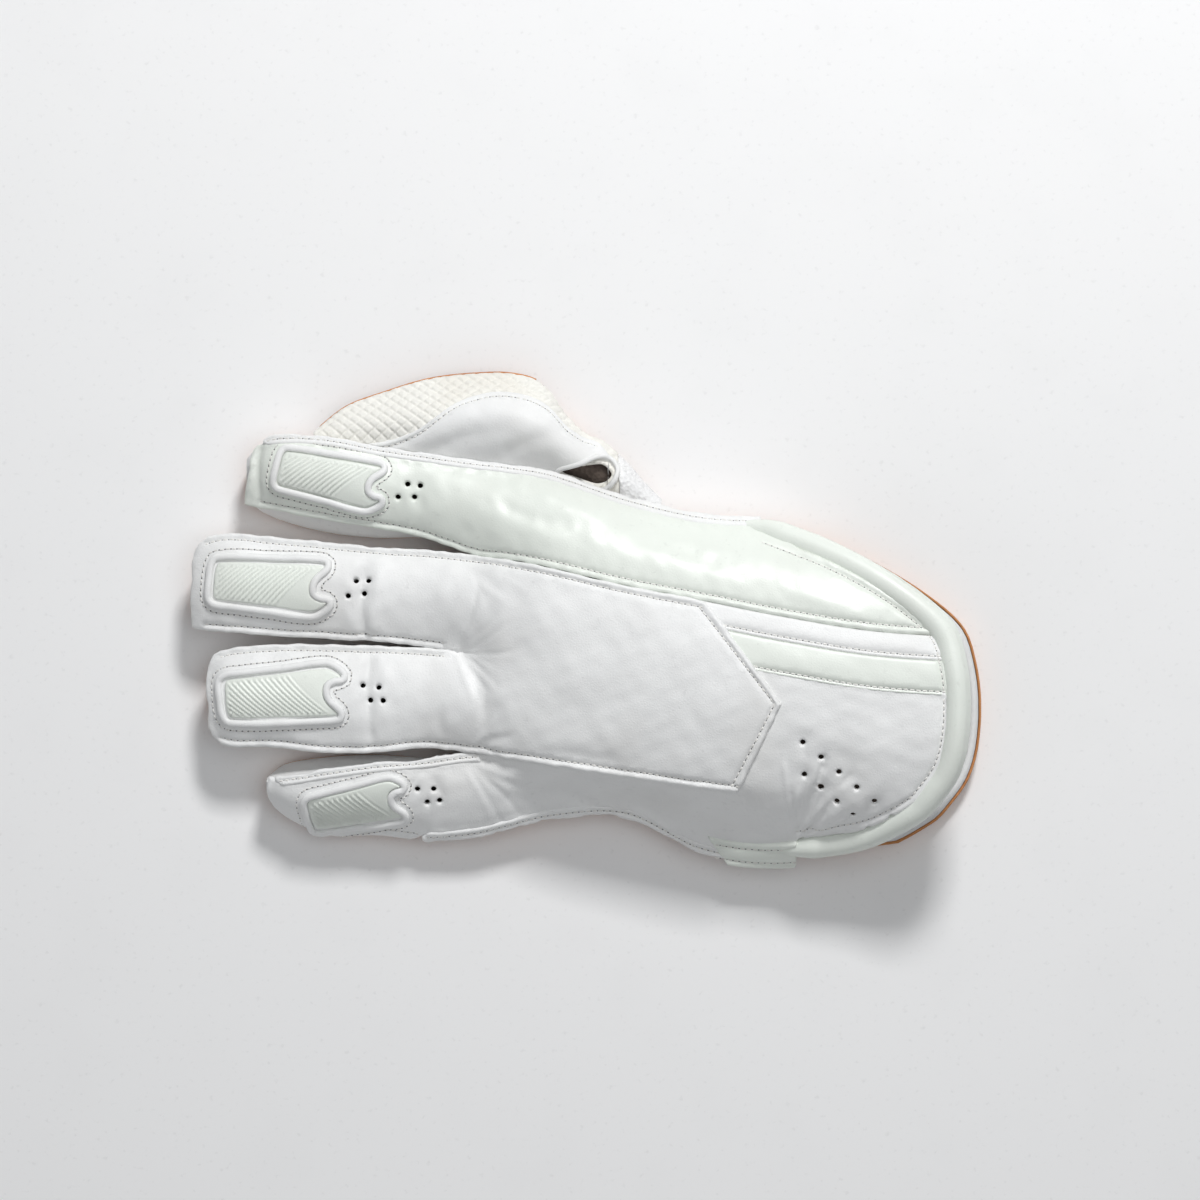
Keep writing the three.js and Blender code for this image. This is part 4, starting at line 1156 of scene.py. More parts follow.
@dataclass
class Finishes:
    """Every material of the glove, made once."""

    white: Material = coat_of(
        "white_hide", Kind.LEATHER, (0.87, 0.875, 0.87), (0.82, 0.82, 0.81), 0.52, 0.04, 0.34)
    gloss: Material = coat_of(
        "glossy_hide", Kind.COATED, (0.82, 0.86, 0.8), (0.78, 0.81, 0.755), 0.42, 0.22, 0.2)
    cream: Material = coat_of(
        "cream_rubber", Kind.DIAMOND, (0.86, 0.85, 0.8), (0.82, 0.8, 0.74), 0.62, 0.0, 0.12)
    palm: Material = coat_of(
        "palm_rubber", Kind.PIMPLED, (0.62, 0.27, 0.1), (0.5, 0.2, 0.075), 0.7, 0.0, 0.5)
    knit: Material = coat_of(
        "white_knit", Kind.KNIT, (0.88, 0.88, 0.88), (0.84, 0.84, 0.84), 0.85, 0.0, 1.0)
    lining: Material = coat_of(
        "lining_knit", Kind.KNIT, (0.16, 0.125, 0.105), (0.11, 0.085, 0.07), 0.9, 0.0, 0.5)
    thread: Material = coat_of(
        "white_thread", Kind.THREAD, (0.8, 0.79, 0.76), (0.7, 0.69, 0.66), 0.75, 0.0, 0.3)
    # Dark grey of the discs between the stitches: painted shade of the needle holes
    painted_hole_shade: Material = coat_of(
        "needle_hole_painted_shade", Kind.THREAD, (0.2, 0.2, 0.2), (0.15, 0.15, 0.15), 0.9, 0.0, 0.3)


def cuff_rim(length: float, lean: float, inset: float = 0.0) -> Array:
    """The line of the cuff's end, a length past the side seams, leant to the little finger and moved inwards."""
    line = rounded([(HAND_LENGTH + a * length, b * HAND_WIDTH - lean) for a, b in CUFF_OUTLINE], 1.2)
    return line - normals_2d(line) * inset


def vent_rim() -> Array:
    """The rim of a vent hole about its middle."""
    angle = np.linspace(0, 2 * np.pi, VENT_SIDES, endpoint=False)
    return table(np.cos(angle), np.sin(angle)) * VENT_RADIUS


@dataclass
class Layout:
    """The plan lines that the back's panels share."""

    point_top: float = hand_x(0.76)
    point_tip: float = hand_x(1.01)
    point_bottom: float = hand_x(0.867)
    upper_strap: float = 9.7
    lower_strap: float = 13.7
    clearance: float = 0.06
    tuck: float = 3.0
    under_lip: float = LIP_WIDTH - 1.8

    def corner(self, x: float, line: Curve) -> Array:
        """Where a line of the plan passes a place on X."""
        return np.array([x, float(line(x))])

    def stations(self, start: float, end: float, pitch: float = 3.0) -> Array:
        """Even places on X."""
        return np.linspace(start, end, max(2, round(abs(end - start) / pitch) + 1))

    def finger_loop(self, name: str, root: float, inset: float) -> tuple[Array, Array, Array]:
        """A finger's edges and tip, as lines from the root to the tip, round it, and back to the root.

        Args:
            name: The finger.
            root: Where the lines start and end on X.
            inset: How far inside the edges they run.

        Returns:
            The low edge, the tip and the high edge.
        """
        strip, form = STRIPS[name], FINGERS[name]
        cut = curve([u for u, _ in form.tip_cut], [reach for _, reach in form.tip_cut])
        ends = form.tip_cut[0][1], form.tip_cut[-1][1]
        low_x = self.stations(root, strip.tip + ends[0] + inset)
        high_x = self.stations(strip.tip + ends[1] + inset, root)
        low = table(low_x, strip.low_y(low_x) + inset)
        high = table(high_x, strip.high_y(high_x) - inset)
        share = np.linspace(0.06, 0.94, 12)
        tip_x = strip.tip + cut(share) + inset
        tip = table(tip_x, low[-1, 1] + (high[0, 1] - low[-1, 1]) * share)
        return low, tip, high


def trimmed(line: Array, edge: Array) -> Array:
    """The part of a line that lies within the cuff.

    Args:
        line: Points of the plan.
        edge: The cuff's end.

    Returns:
        The points that are kept.
    """
    region = np.vstack([[-400.0, edge[0, 1] + 200], [edge[0, 0], edge[0, 1] + 200], edge,
                        [edge[-1, 0], edge[-1, 1] - 200], [-400.0, edge[-1, 1] - 200]])
    return line[inside(line, region)]


@dataclass
class BackOfHand:
    """The panels of the back: the central, index and outer hides, the straps and their stitches."""

    finishes: Finishes
    layout: Layout = field(default_factory=Layout)
    faces: dict[str, Panel] = field(default_factory=dict)
    rim: Array = field(default_factory=lambda: cuff_rim(CUFF_LENGTH, 0.0, 1.5 * BINDING_RADIUS))

    def _central(self) -> Panel:
        """The hide over the middle and ring fingers and the back of the hand."""
        gap = self.layout.clearance
        low_r, tip_r, high_r = self.layout.finger_loop("ring", CROTCH, gap)
        low_m, tip_m, high_m = self.layout.finger_loop("middle", CROTCH, gap)
        ring, middle = STRIPS["ring"], STRIPS["middle"]
        low_x = self.layout.stations(self.layout.point_bottom, CROTCH + 3)
        high_x = self.layout.stations(CROTCH + 3, self.layout.point_top)
        low_hand = table(low_x, ring.low_y(low_x) + gap)
        high_hand = table(high_x, middle.high_y(high_x) - gap)
        tip_point = self.layout.corner(self.layout.point_tip, middle.low_y)
        outline = np.vstack([low_hand, low_r, tip_r, high_r, low_m, tip_m, high_m, high_hand, tip_point])[::-1]
        back = Back([ring, middle], soften=9.0)
        folds = [
            crease([(-44.4, 21), (-45.7, 7.3), (-43.3, -10)], 1.3, 1.9),
            crease([(-38, 21), (-40, 7), (-42, -8)], -1.1, 2.6),
            crease([(-50, 20), (-51, 8), (-49, -6)], -0.5, 2.4),
            crease([(-41.7, -14), (-43.3, -28.7), (-41.7, -50)], 1.2, 1.9),
            crease([(-36, -16), (-37, -30), (-36, -46)], -0.8, 2.8),
            crease([(-47.5, -18), (-49, -30), (-47, -46)], -0.5, 2.6),
            crease([(-6.9, -12.7), (-4, -3), (0.8, 8)], 0.7, 2.4),
            crease([(-6.9, -13), (2.4, -28), (4.8, -45)], 0.8, 2.6),
            *fan((-8, -12.7), (66, -70), 24, 13, 0.5, 75),
            *fan((-4, -52), (60, 20), 26, 6, 0.4, 76),
            *fan((-3, 19), (-66, -10), 26, 7, 0.4, 77),
            *fan((-46, -2), (80, 110), 22, 4, 0.3, 78),
            *fan((-44, -52), (70, 100), 24, 5, 0.3, 79),
            crease([(-12.5, -32), (-13.5, -40), (-13.3, -48)], 0.6, 2.2),
            crease([(7, 16), (12, 2), (11, -14)], -0.7, 4.0),
            crease([(9, -24), (14, -36), (12, -50)], -0.7, 4.0),
            crease([(-8, 26), (-12, 12), (-14, 0)], -0.5, 3.2),
            crease([(30, 18), (48, 14), (70, 9)], -0.35, 4.5),
            crease([(24, -52), (44, -54), (66, -58)], 0.6, 3.0),
        ]
        holes = [*self._vents("middle"), *self._vents("ring")]
        return Panel("back_hide", outline, back.height, PANEL_RISE, BACK_WALL, holes, self._central_seams(),
                     folds, puff=0.9, welt=0.6, wobble=0.2, uneven=0.28, seed=3)

    def _central_seams(self) -> list[Array]:
        """The stitch lines of the central hide."""
        ring, middle = STRIPS["ring"], STRIPS["middle"]
        seams = []
        for strip, sign in ((ring, 1), (middle, -1)):
            for side in (1, -1):
                root = self.layout.point_bottom if (side == 1) == (sign == 1) else CROTCH - 5
                if strip is middle and side == -1:
                    root = self.layout.point_top - 2
                xs = self.layout.stations(strip.tip + 6, root)
                edge = strip.low_y(xs) + SEAM_INSET if side == 1 else strip.high_y(xs) - SEAM_INSET
                if strip is middle and side == 1:
                    xs, edge = xs[xs < CROTCH - 4], edge[xs < CROTCH - 4]
                seams.append(table(xs, edge))
        tip = self.layout.corner(self.layout.point_tip, middle.low_y)
        top = self.layout.corner(self.layout.point_top, middle.high_y)
        bottom = self.layout.corner(self.layout.point_bottom, ring.low_y)
        inner = np.array([-2.3, 0.0])
        point = [top + inner + (0, -3), tip + inner * 1.2, bottom + inner + (0, 3.2)]
        seams.append(resample(np.vstack(point), 1.0))
        return seams

    def _vents(self, finger: str) -> list[Array]:
        """The four vent holes behind a finger's shield.

        Args:
            finger: The finger.

        Returns:
            The rims of the holes.
        """
        guard = GUARDS[finger]
        middle = 0.74 * GUARD_LENGTH * guard.size
        spots = np.array([(-1.3, 3), (3.7, 3.2), (-4.3, -3), (2.1, -2)])
        return [guard.place(np.array([[middle + u, v * guard.flip]]))[0] + vent_rim() for u, v in spots]

    def _index(self) -> Panel:
        """The glossy hide from the tip of the index finger to the cuff."""
        gap = self.layout.clearance
        strip = STRIPS["index"]
        low, tip, high = self.layout.finger_loop("index", 0.0, gap)
        end = self.rim[:, 0].max()
        low_x = self.layout.stations(end, 1.0)
        low_hand = trimmed(table(low_x, strip.low_y(low_x) + gap), self.rim)
        high_x = self.layout.stations(3.0, HAND_LENGTH - 6)
        high_hand = table(high_x, strip.high_y(high_x) - gap)
        high[:, 1] -= self.layout.under_lip * ease(high[:, 0], strip.tip, strip.tip + 14)
        high_hand[:, 1] -= self.layout.under_lip
        along = np.linalg.norm(self.rim - self.rim[0], axis=1)
        rim = self.rim + normals_2d(self.rim) * (5.0 * (1 - ease(along, 0, 16)))[:, None]
        rim = rim[rim[:, 1] > low_hand[0, 1] + 0.5]
        outline = np.vstack([low_hand, low, tip, high, high_hand, rim])[::-1]
        folds = [
            crease([(6, 48), (22, 40), (40, 36)], 0.8, 3.0),
            crease([(20, 52), (38, 44), (58, 37)], -0.9, 4.0),
            crease([(60, 34), (84, 26), (104, 20)], 0.7, 3.5),
            crease([(-85.6, 71), (-87.4, 60), (-86.2, 46)], 1.3, 1.5),
            crease([(-90.6, 66), (-89.0, 58), (-91.0, 50)], -0.5, 1.3),
            crease([(-24, 34), (-22, 46), (-26, 58)], 0.6, 2.6),
            crease([(-62, 40), (-58, 52), (-61, 66)], 0.6, 2.2),
            crease([(120, 10), (140, 6), (160, -2)], -0.5, 3.0),
        ]
        seams = [trimmed(self._line_beside(strip, strip.tip + 6, end), self.rim)]
        return Panel("index_hide", outline, Back([strip]).height, 0.0, BACK_WALL, self._vents("index"), seams,
                     folds, puff=0.8, welt=0.5, wobble=0.16, uneven=0.24, seed=7)

    def _line_beside(self, strip: Strip, start: float, end: float) -> Array:
        """A stitch line just inside a strip's low edge."""
        xs = self.layout.stations(start, end, 2.0)
        return table(xs, strip.low_y(xs) + SEAM_INSET)

    def _strap(self, name: str, near: float, far: float, seed: int) -> Panel:
        """One of the two straps that run from the point of the central hide to the cuff.

        Args:
            name: The strap's name.
            near: How far its upper edge is from the hide's edge.
            far: How far its lower one is.
            seed: Which unevenness.

        Returns:
            The strap.
        """
        gap, strip = self.layout.clearance, STRIPS["middle"]
        xs = self.layout.stations(hand_x(0.6), hand_x(2.1), 2.0)
        upper = table(xs, strip.high_y(xs) - near - gap)
        lower = table(xs, strip.high_y(xs) - far + gap)
        top = self.layout.corner(self.layout.point_top, strip.high_y)
        tip = self.layout.corner(self.layout.point_tip, strip.low_y)
        slope = (tip[0] - top[0]) / (tip[1] - top[1])

        def beyond(line: Array) -> Array:
            """The part past the point's slanted edge and within the cuff."""
            start = top[0] + (line[:, 1] - top[1]) * slope - self.layout.tuck
            return trimmed(line[line[:, 0] > start], self.rim)

        upper, lower = beyond(upper), beyond(lower)
        return Panel(name, np.vstack([lower, upper[::-1]]), Back([strip]).height, STRAP_RISE, BACK_WALL, (),
                     [lower + (0, 1.6)], (), puff=0.5, seed=seed)

    def _outer(self) -> Panel:
        """The hide over the little finger, the side of the hand and the vented cuff."""
        gap = self.layout.clearance
        strip, middle, ring = STRIPS["little"], STRIPS["middle"], STRIPS["ring"]
        low, tip, high = self.layout.finger_loop("little", 0.0, gap)
        low_x = self.layout.stations(HAND_LENGTH + 7, 3.0)
        low_hand = table(low_x, strip.low_y(low_x) + self.layout.under_lip)
        high[:, 1] -= (self.layout.under_lip * ease(high[:, 0], strip.tip, strip.tip + 10)
                       * ease(-high[:, 0], 0, 4))
        low[:, 1] += self.layout.under_lip * ease(low[:, 0], -27, -19)
        high_x = self.layout.stations(3.0, self.layout.point_bottom - 1)
        high_hand = table(high_x, strip.high_y(high_x) + self.layout.tuck * ease(high_x, 3.0, 12.0))
        strap_x = self.layout.stations(self.layout.point_tip - 12, hand_x(2.1))
        strap_y = middle.high_y(strap_x) - self.layout.upper_strap - self.layout.lower_strap + 2
        strap = trimmed(table(strap_x, strap_y), self.rim)
        tip_point = np.array([[self.layout.point_tip - 4, float(middle.low_y(self.layout.point_tip))]])
        rim = self.rim[self.rim[:, 1] < strap[-1, 1] - 0.5][::-1]
        rim = rim[rim[:, 0] > HAND_LENGTH + 8]
        outline = np.vstack([low_hand, low, tip, high, high_hand, tip_point, strap, rim[::-1]])[::-1]
        folds = [
            *fan((127, -91), (98, 34), 36, 17, 1.0, 71),
            *fan((125, -90), (176, 128), 26, 7, 0.5, 72),
            *fan((-20, -58), (-62, -118), 24, 6, 0.4, 73),
            *fan((-6, -56), (-20, -60), 40, 5, 0.45, 74),
            crease([(129, -88), (133, -74), (143, -60)], 2.7, 5.5),
            crease([(136, -90), (150, -80), (164, -70)], 1.2, 3.6),
            crease([(126, -88), (112, -79), (101, -77)], 1.1, 3.4),
            crease([(17, -71), (34, -71), (50, -73)], 1.6, 3.4),
            crease([(20, -70), (45, -66), (74, -74)], 1.8, 5.0),
            crease([(74, -72), (90, -74), (104, -70)], 1.2, 3.6),
            crease([(10, -62), (36, -60), (66, -64)], -0.7, 3.0),
            crease([(52, -76), (64, -82), (84, -84)], -1.0, 3.4),
            crease([(-18, -60), (-14, -72), (-18, -84)], 0.7, 2.4),
            crease([(-50, -66), (-47, -76), (-50, -88)], 0.5, 2.2),
        ]
        back = Back([strip, ring, middle], soften=6.0)
        turn = math.radians(-40)
        run = np.array([math.cos(turn), math.sin(turn)])
        vents = self._vents("little") + [
            np.array([hand_x(x), y * HAND_WIDTH]) + i * pitch * run + vent_rim()
            for x, y, pitch, count in ((1.12, -0.324, 9.3, 6), (1.13, -0.411, 8.5, 5)) for i in range(count)
        ]
        seams = [self._line_beside(strip, strip.tip + 48, -24.0)]
        return Panel("outer_hide", outline, back.height, 0.0, BACK_WALL, vents, seams, folds, spacing=1.0,
                     puff=0.7, welt=0.4, uneven=0.24, seed=17)

    def _lip(self, name: str, strip: Strip, side: int, start: float, end: float, seed: int) -> Panel:
        """A stitched lip along a seam, with the ragged edge of a folded hide.

        Args:
            name: The lip's name.
            strip: The strip that it edges.
            side: 1 for the high edge, -1 for the low one.
            start: Where it starts on X.
            end: Where it ends.
            seed: Which raggedness.

        Returns:
            The lip.
        """
        xs = self.layout.stations(start, end, 1.2)
        line = strip.high_y if side > 0 else strip.low_y
        rng = np.random.default_rng(seed)
        ragged = np.convolve(rng.normal(0, 0.5, len(xs) + 4), np.ones(5) / 5, "valid")
        outer = table(xs, line(xs) - side * (0.1 + ragged + 0.6 * (1 - ease(xs, start, start + 2.5))))
        width = (LIP_WIDTH - 0.45) * (0.55 + 0.45 * ease(xs, start, start + 3.5))
        inner = table(xs, line(xs) - side * (0.1 + width))
        outline = np.vstack([inner, outer[::-1]])
        middle = [table(xs[2:-2], line(xs[2:-2]) - side * 2.1)]
        return Panel(name, outline if side > 0 else outline[::-1], Back([strip]).height, 0.9, BACK_WALL, (),
                     middle, (), puff=0.7, puff_reach=1.3, edge=0.9, seam_depth=0.8, spacing=1.3, seed=seed)

    def build(self) -> None:
        """Makes every panel of the back, then sews it."""
        f = self.finishes
        strip = STRIPS["index"]
        little = STRIPS["little"]
        central, index, outer = self._central(), self._index(), self._outer()
        foot = cuff_rim(CUFF_LENGTH, 0.0, 2 * BINDING_RADIUS + 0.5)
        upper = self._strap("strap_upper", 0.0, self.layout.upper_strap, 13)
        lower = self._strap("strap_lower", self.layout.upper_strap,
                            self.layout.upper_strap + self.layout.lower_strap, 11)
        beside = {index.name: foot[:, 1] > index.seams[0][-1, 1] + 1, upper.name: None, lower.name: None,
                  outer.name: foot[:, 1] < lower.seams[0][-1, 1] - 3}
        for panel in (index, upper, lower, outer):
            kept = inside(foot, panel.outline)
            if beside[panel.name] is not None:
                kept &= beside[panel.name]
            if kept.sum() > 3:
                panel.seams.append(foot[kept])
        rim_start = cuff_rim(CUFF_LENGTH, 0.0)[0, 0]
        index_lip = self._lip("lip_index", strip, 1, strip.tip + 7, rim_start - 4, 21)
        little_lip = self._lip("lip_little", little, 1, little.tip + 4, 2.5, 22)
        side_lip = self._lip("lip_side", little, -1, -22.0, 101.5, 23)
        self.faces.update(index=index, middle=central, ring=central, little=outer)
        sewing = Stitching("back_stitches")
        for panel, face, under, node in (
            (central, f.white, f.lining, "back_panel"), (index, f.gloss, f.lining, "index_panel"),
            (outer, f.white, f.lining, "outer_panel"), (upper, f.white, f.lining, "cuff_strap_upper"),
            (lower, f.gloss, f.lining, "cuff_strap_lower"), (index_lip, f.white, f.white, "index_lip"),
            (little_lip, f.white, f.white, "little_lip"), (side_lip, f.white, f.white, "side_lip"),
        ):
            panel.build([face, under], "gloss_leather" if face is f.gloss else "white_leather", node)
            for seam in panel.seams:
                sewing.row(panel, seam)
        sewing.build(f, "white_leather")


GUARD_LENGTH = 47.0
GUARD_WIDTH = 20.0
FRAME_WIDTH = 2.0


@dataclass(frozen=True)
class Guard:
    """Where a ribbed shield sits on its finger and how large it is."""

    finger: str
    along: float
    across: float
    turn: float
    size: float
    flip: int

    def place(self, points: Array) -> Array:
        """The shield's own points in the plan.

        Args:
            points: Points along and across the shield.

        Returns:
            Places in the plan.
        """
        form, strip = FINGERS[self.finger], STRIPS[self.finger]
        x = -self.along * form.length
        y = float((strip.low_y(x) + strip.high_y(x)) / 2) + self.across * form.width
        c, s = math.cos(math.radians(self.turn)), math.sin(math.radians(self.turn))
        return table(x + points[:, 0] * c - points[:, 1] * s, y + points[:, 0] * s + points[:, 1] * c)

    def outline(self) -> Array:
        """The window round the shield, with its notch towards the root of the finger."""
        length, width = GUARD_LENGTH * self.size, GUARD_WIDTH * self.size
        shares = (
            (-0.45, 0.46), (0.0, 0.47), (0.36, 0.46), (0.45, 0.43), (0.45, 0.36), (0.36, 0.17), (0.33, 0.0),
            (0.345, -0.16), (0.41, -0.25), (0.47, -0.265), (0.485, -0.3), (0.43, -0.42), (0.34, -0.5),
            (0.0, -0.42), (-0.36, -0.34), (-0.47, -0.31), (-0.5, -0.24), (-0.5, 0.0), (-0.485, 0.34),
        )
        loop = rounded([(u * length, v * width) for u, v in shares], 0.7, closed=True)[::-1]
        return loop if self.flip > 0 else loop[::-1] * (1, -1)


GUARDS = {
    guard.finger: guard for guard in (
        Guard("index", 0.624, 0.0, -9, 0.91, 1), Guard("middle", 0.717, 0.0, -1.5, 1.0, 1),
        Guard("ring", 0.71, 0.02, 1, 1.02, -1), Guard("little", 0.565, -0.05, 8, 0.84, -1),
    )
}


@dataclass
class Shields:
    """The ribbed shields over the finger ends, with the rolled edges of their windows."""

    finishes: Finishes
    faces: dict[str, Panel]
    pitch: float = 2.35
    rib_height: float = 1.0
    turn: float = math.radians(56)

    def _ribs(self, guard: Guard) -> Callable[[Array], Array]:
        """The relief of the ribs, in shallow arcs over the outer three quarters.

        Args:
            guard: The shield.

        Returns:
            The height of the relief at places in the plan.
        """
        length = GUARD_LENGTH * guard.size
        loop = guard.outline()

        def relief(points: Array) -> Array:
            """The height of the ribs.

            Args:
                points: Places in the plan.

            Returns:
                The heights.
            """
            centre = guard.place(np.zeros((1, 2)))[0]
            c, s = math.cos(math.radians(guard.turn)), math.sin(math.radians(guard.turn))
            u = (points[:, 0] - centre[0]) * c + (points[:, 1] - centre[1]) * s
            v = (-(points[:, 0] - centre[0]) * s + (points[:, 1] - centre[1]) * c) * guard.flip
            bend = 0.02 * (v + 10) ** 2
            across = u - v / math.tan(self.turn) - bend
            turn = across / self.pitch - np.floor(across / self.pitch)
            wave = np.exp(-(((turn - 0.5) / 0.17) ** 2))
            body = ease(-across, -length * 0.17, -length * 0.17 + 3) * ease(u, -0.5 * length, -0.5 * length + 3)
            rim = ease(distance(points, [closed_line(guard.place(loop))]), 0.8, 2.4)
            return self.rib_height * (wave - 0.25) * body * rim

        return relief

    def build(self) -> None:
        """Makes the four shields and their windows."""
        sewing = Stitching("shield_stitches", pitch=2.3, length=1.6, thread=0.55)
        for guard in GUARDS.values():
            back, rise = Back([STRIPS[guard.finger]]), FINGERS[guard.finger].rise + 0.75
            window = guard.place(guard.outline())
            plate_loop = window + normals_2d(window, True) * 0.5
            plate = Panel(f"{guard.finger}_ribs", plate_loop, lambda x, y: back.height(x, y) + rise, 0.9,
                          0.6, relief=self._ribs(guard), spacing=0.6, fine=0.7, edge=0.5, puff=0.3,
                          uneven=0.03, seed=31)
            plate.build([self.finishes.gloss, self.finishes.gloss], "gloss_leather", f"{guard.finger}_shield")
            frame_mesh = Mesh()
            points, up = self.faces[guard.finger].face(grown(window, FRAME_WIDTH * 0.5))
            sweep(frame_mesh, points + up * 0.55, up, lambda t: ellipse(3.0, 2.5, 12), closed=True)
            roll = frame_mesh.build(f"{guard.finger}_roll", [self.finishes.white])
            dress(roll, "white_leather", f"{guard.finger}_window")
            around = closed_line(resample(grown(window, 4.0), 1.0, closed=True))
            sewing.row(self.faces[guard.finger], around[inside(around, self.faces[guard.finger].outline)])
        sewing.build(self.finishes, "white_leather")


def section(strip: Strip, x: float, grow: float, steps: int = 40, side: float | None = None) -> Array:
    """A section of the side walls and floor under a strip, from its low edge to its high one.

    Args:
        strip: The strip over it.
        x: Where the section is.
        grow: How far the floor stands out.
        steps: How finely it is divided.
        side: How far the side walls stand out, where that differs.

    Returns:
        Points (y, z).
    """
    side = grow if side is None else side
    low, high = float(strip.low_y(x)) + FLANGE - side, float(strip.high_y(x)) - FLANGE + side
    middle = (low + high) / 2
    low, high = min(low, middle - 0.4), max(high, middle + 0.4)
    low_z, high_z = float(strip.low_z(x)), float(strip.high_z(x))
    floor = FACING + GAP + float(strip.lift(np.array(x, float))) - grow
    angle = np.linspace(0, np.pi, steps + 1)
    across = np.sign(np.cos(angle)) * np.abs(np.cos(angle)) ** 0.55
    depth = np.minimum(1, 1.09 * np.abs(np.sin(angle)) ** 0.55)
    swell = np.abs(np.sin(2 * angle)) * np.where(
        across > 0, -float(strip.low_bulge(np.array(x, float))), float(strip.high_bulge(np.array(x, float))))
    t = (1 - across) / 2
    y = low + (high - low) * t + swell
    seam = low_z + (high_z - low_z) * t
    return table(y, seam + (floor - seam) * depth)


def lower_part(line: Array, height: float) -> Array:
    """The part of a section below a height, with as many points as the section.

    Args:
        line: The section.
        height: The height.

    Returns:
        The new section.
    """
    fine = resample(line, 0.3)
    below = fine[fine[:, 1] <= height]
    if len(below) < 4:
        below = fine[np.argsort(fine[:, 1])[:4]]
    reach = travel(below)
    at = np.linspace(0, reach[-1], len(line))
    return np.stack([np.interp(at, reach, below[:, k]) for k in range(2)], axis=1)


def topped(line: Array, first: float, last: float) -> Array:
    """A section's heights with its two ends moved up and nothing above the line between them."""
    line[[0, -1], 1] += (first, last)
    return np.minimum(line[:, 1], np.interp(line[:, 0], line[[0, -1], 0], line[[0, -1], 1]))


def lipped(strip: Strip, high: bool, x: float) -> bool:
    """Whether a stitched lip, which sits higher than a hide, covers a strip's edge at a place.

    Args:
        strip: The strip.
        high: Whether it is the strip's high edge.
        x: The place.

    Returns:
        Whether a lip does.
    """
    if strip is STRIPS["index"]:
        return high and x > strip.tip + 7
    if strip is STRIPS["little"]:
        return strip.tip + 4 < x < 2 if high else -22 < x < 101
    return False


def wall_drops(low: Strip, high: Strip, x: float, line: Array, top: float) -> tuple[float, float]:
    """How far below the seams a section's first and last point stop, which is less under a steep hide.

    Args:
        low: The strip of the back over the section's lower side.
        high: The strip of the back over its upper side.
        x: The section's place.
        line: The section.
        top: The thickness of the hide and the gap under it.

    Returns:
        The drop at the first point and at the last.
    """
    middle = (line[0, 0] + line[-1, 0]) / 2
    drops = []
    for y in (line[0, 0], line[-1, 0]):
        strip, inward = (low, 1.2) if y < middle else (high, -1.2)
        edge = float(strip.low_y(x) if y < middle else strip.high_y(x))
        near, far = strip.height(np.array([x, x]), np.array([edge, edge + inward]))
        share = 0.72 if lipped(strip, y > middle, x) else 1.0
        drops.append(share * top / math.hypot(1.0, (far - near) / 1.2))
    return drops[0], drops[1]


# How far the end of a stall is drawn in, and the sections there
DRAWN_IN = 6.5
TIP_STEPS = np.array([0.0, 0.5, 1.3, 2.6, 4.4])


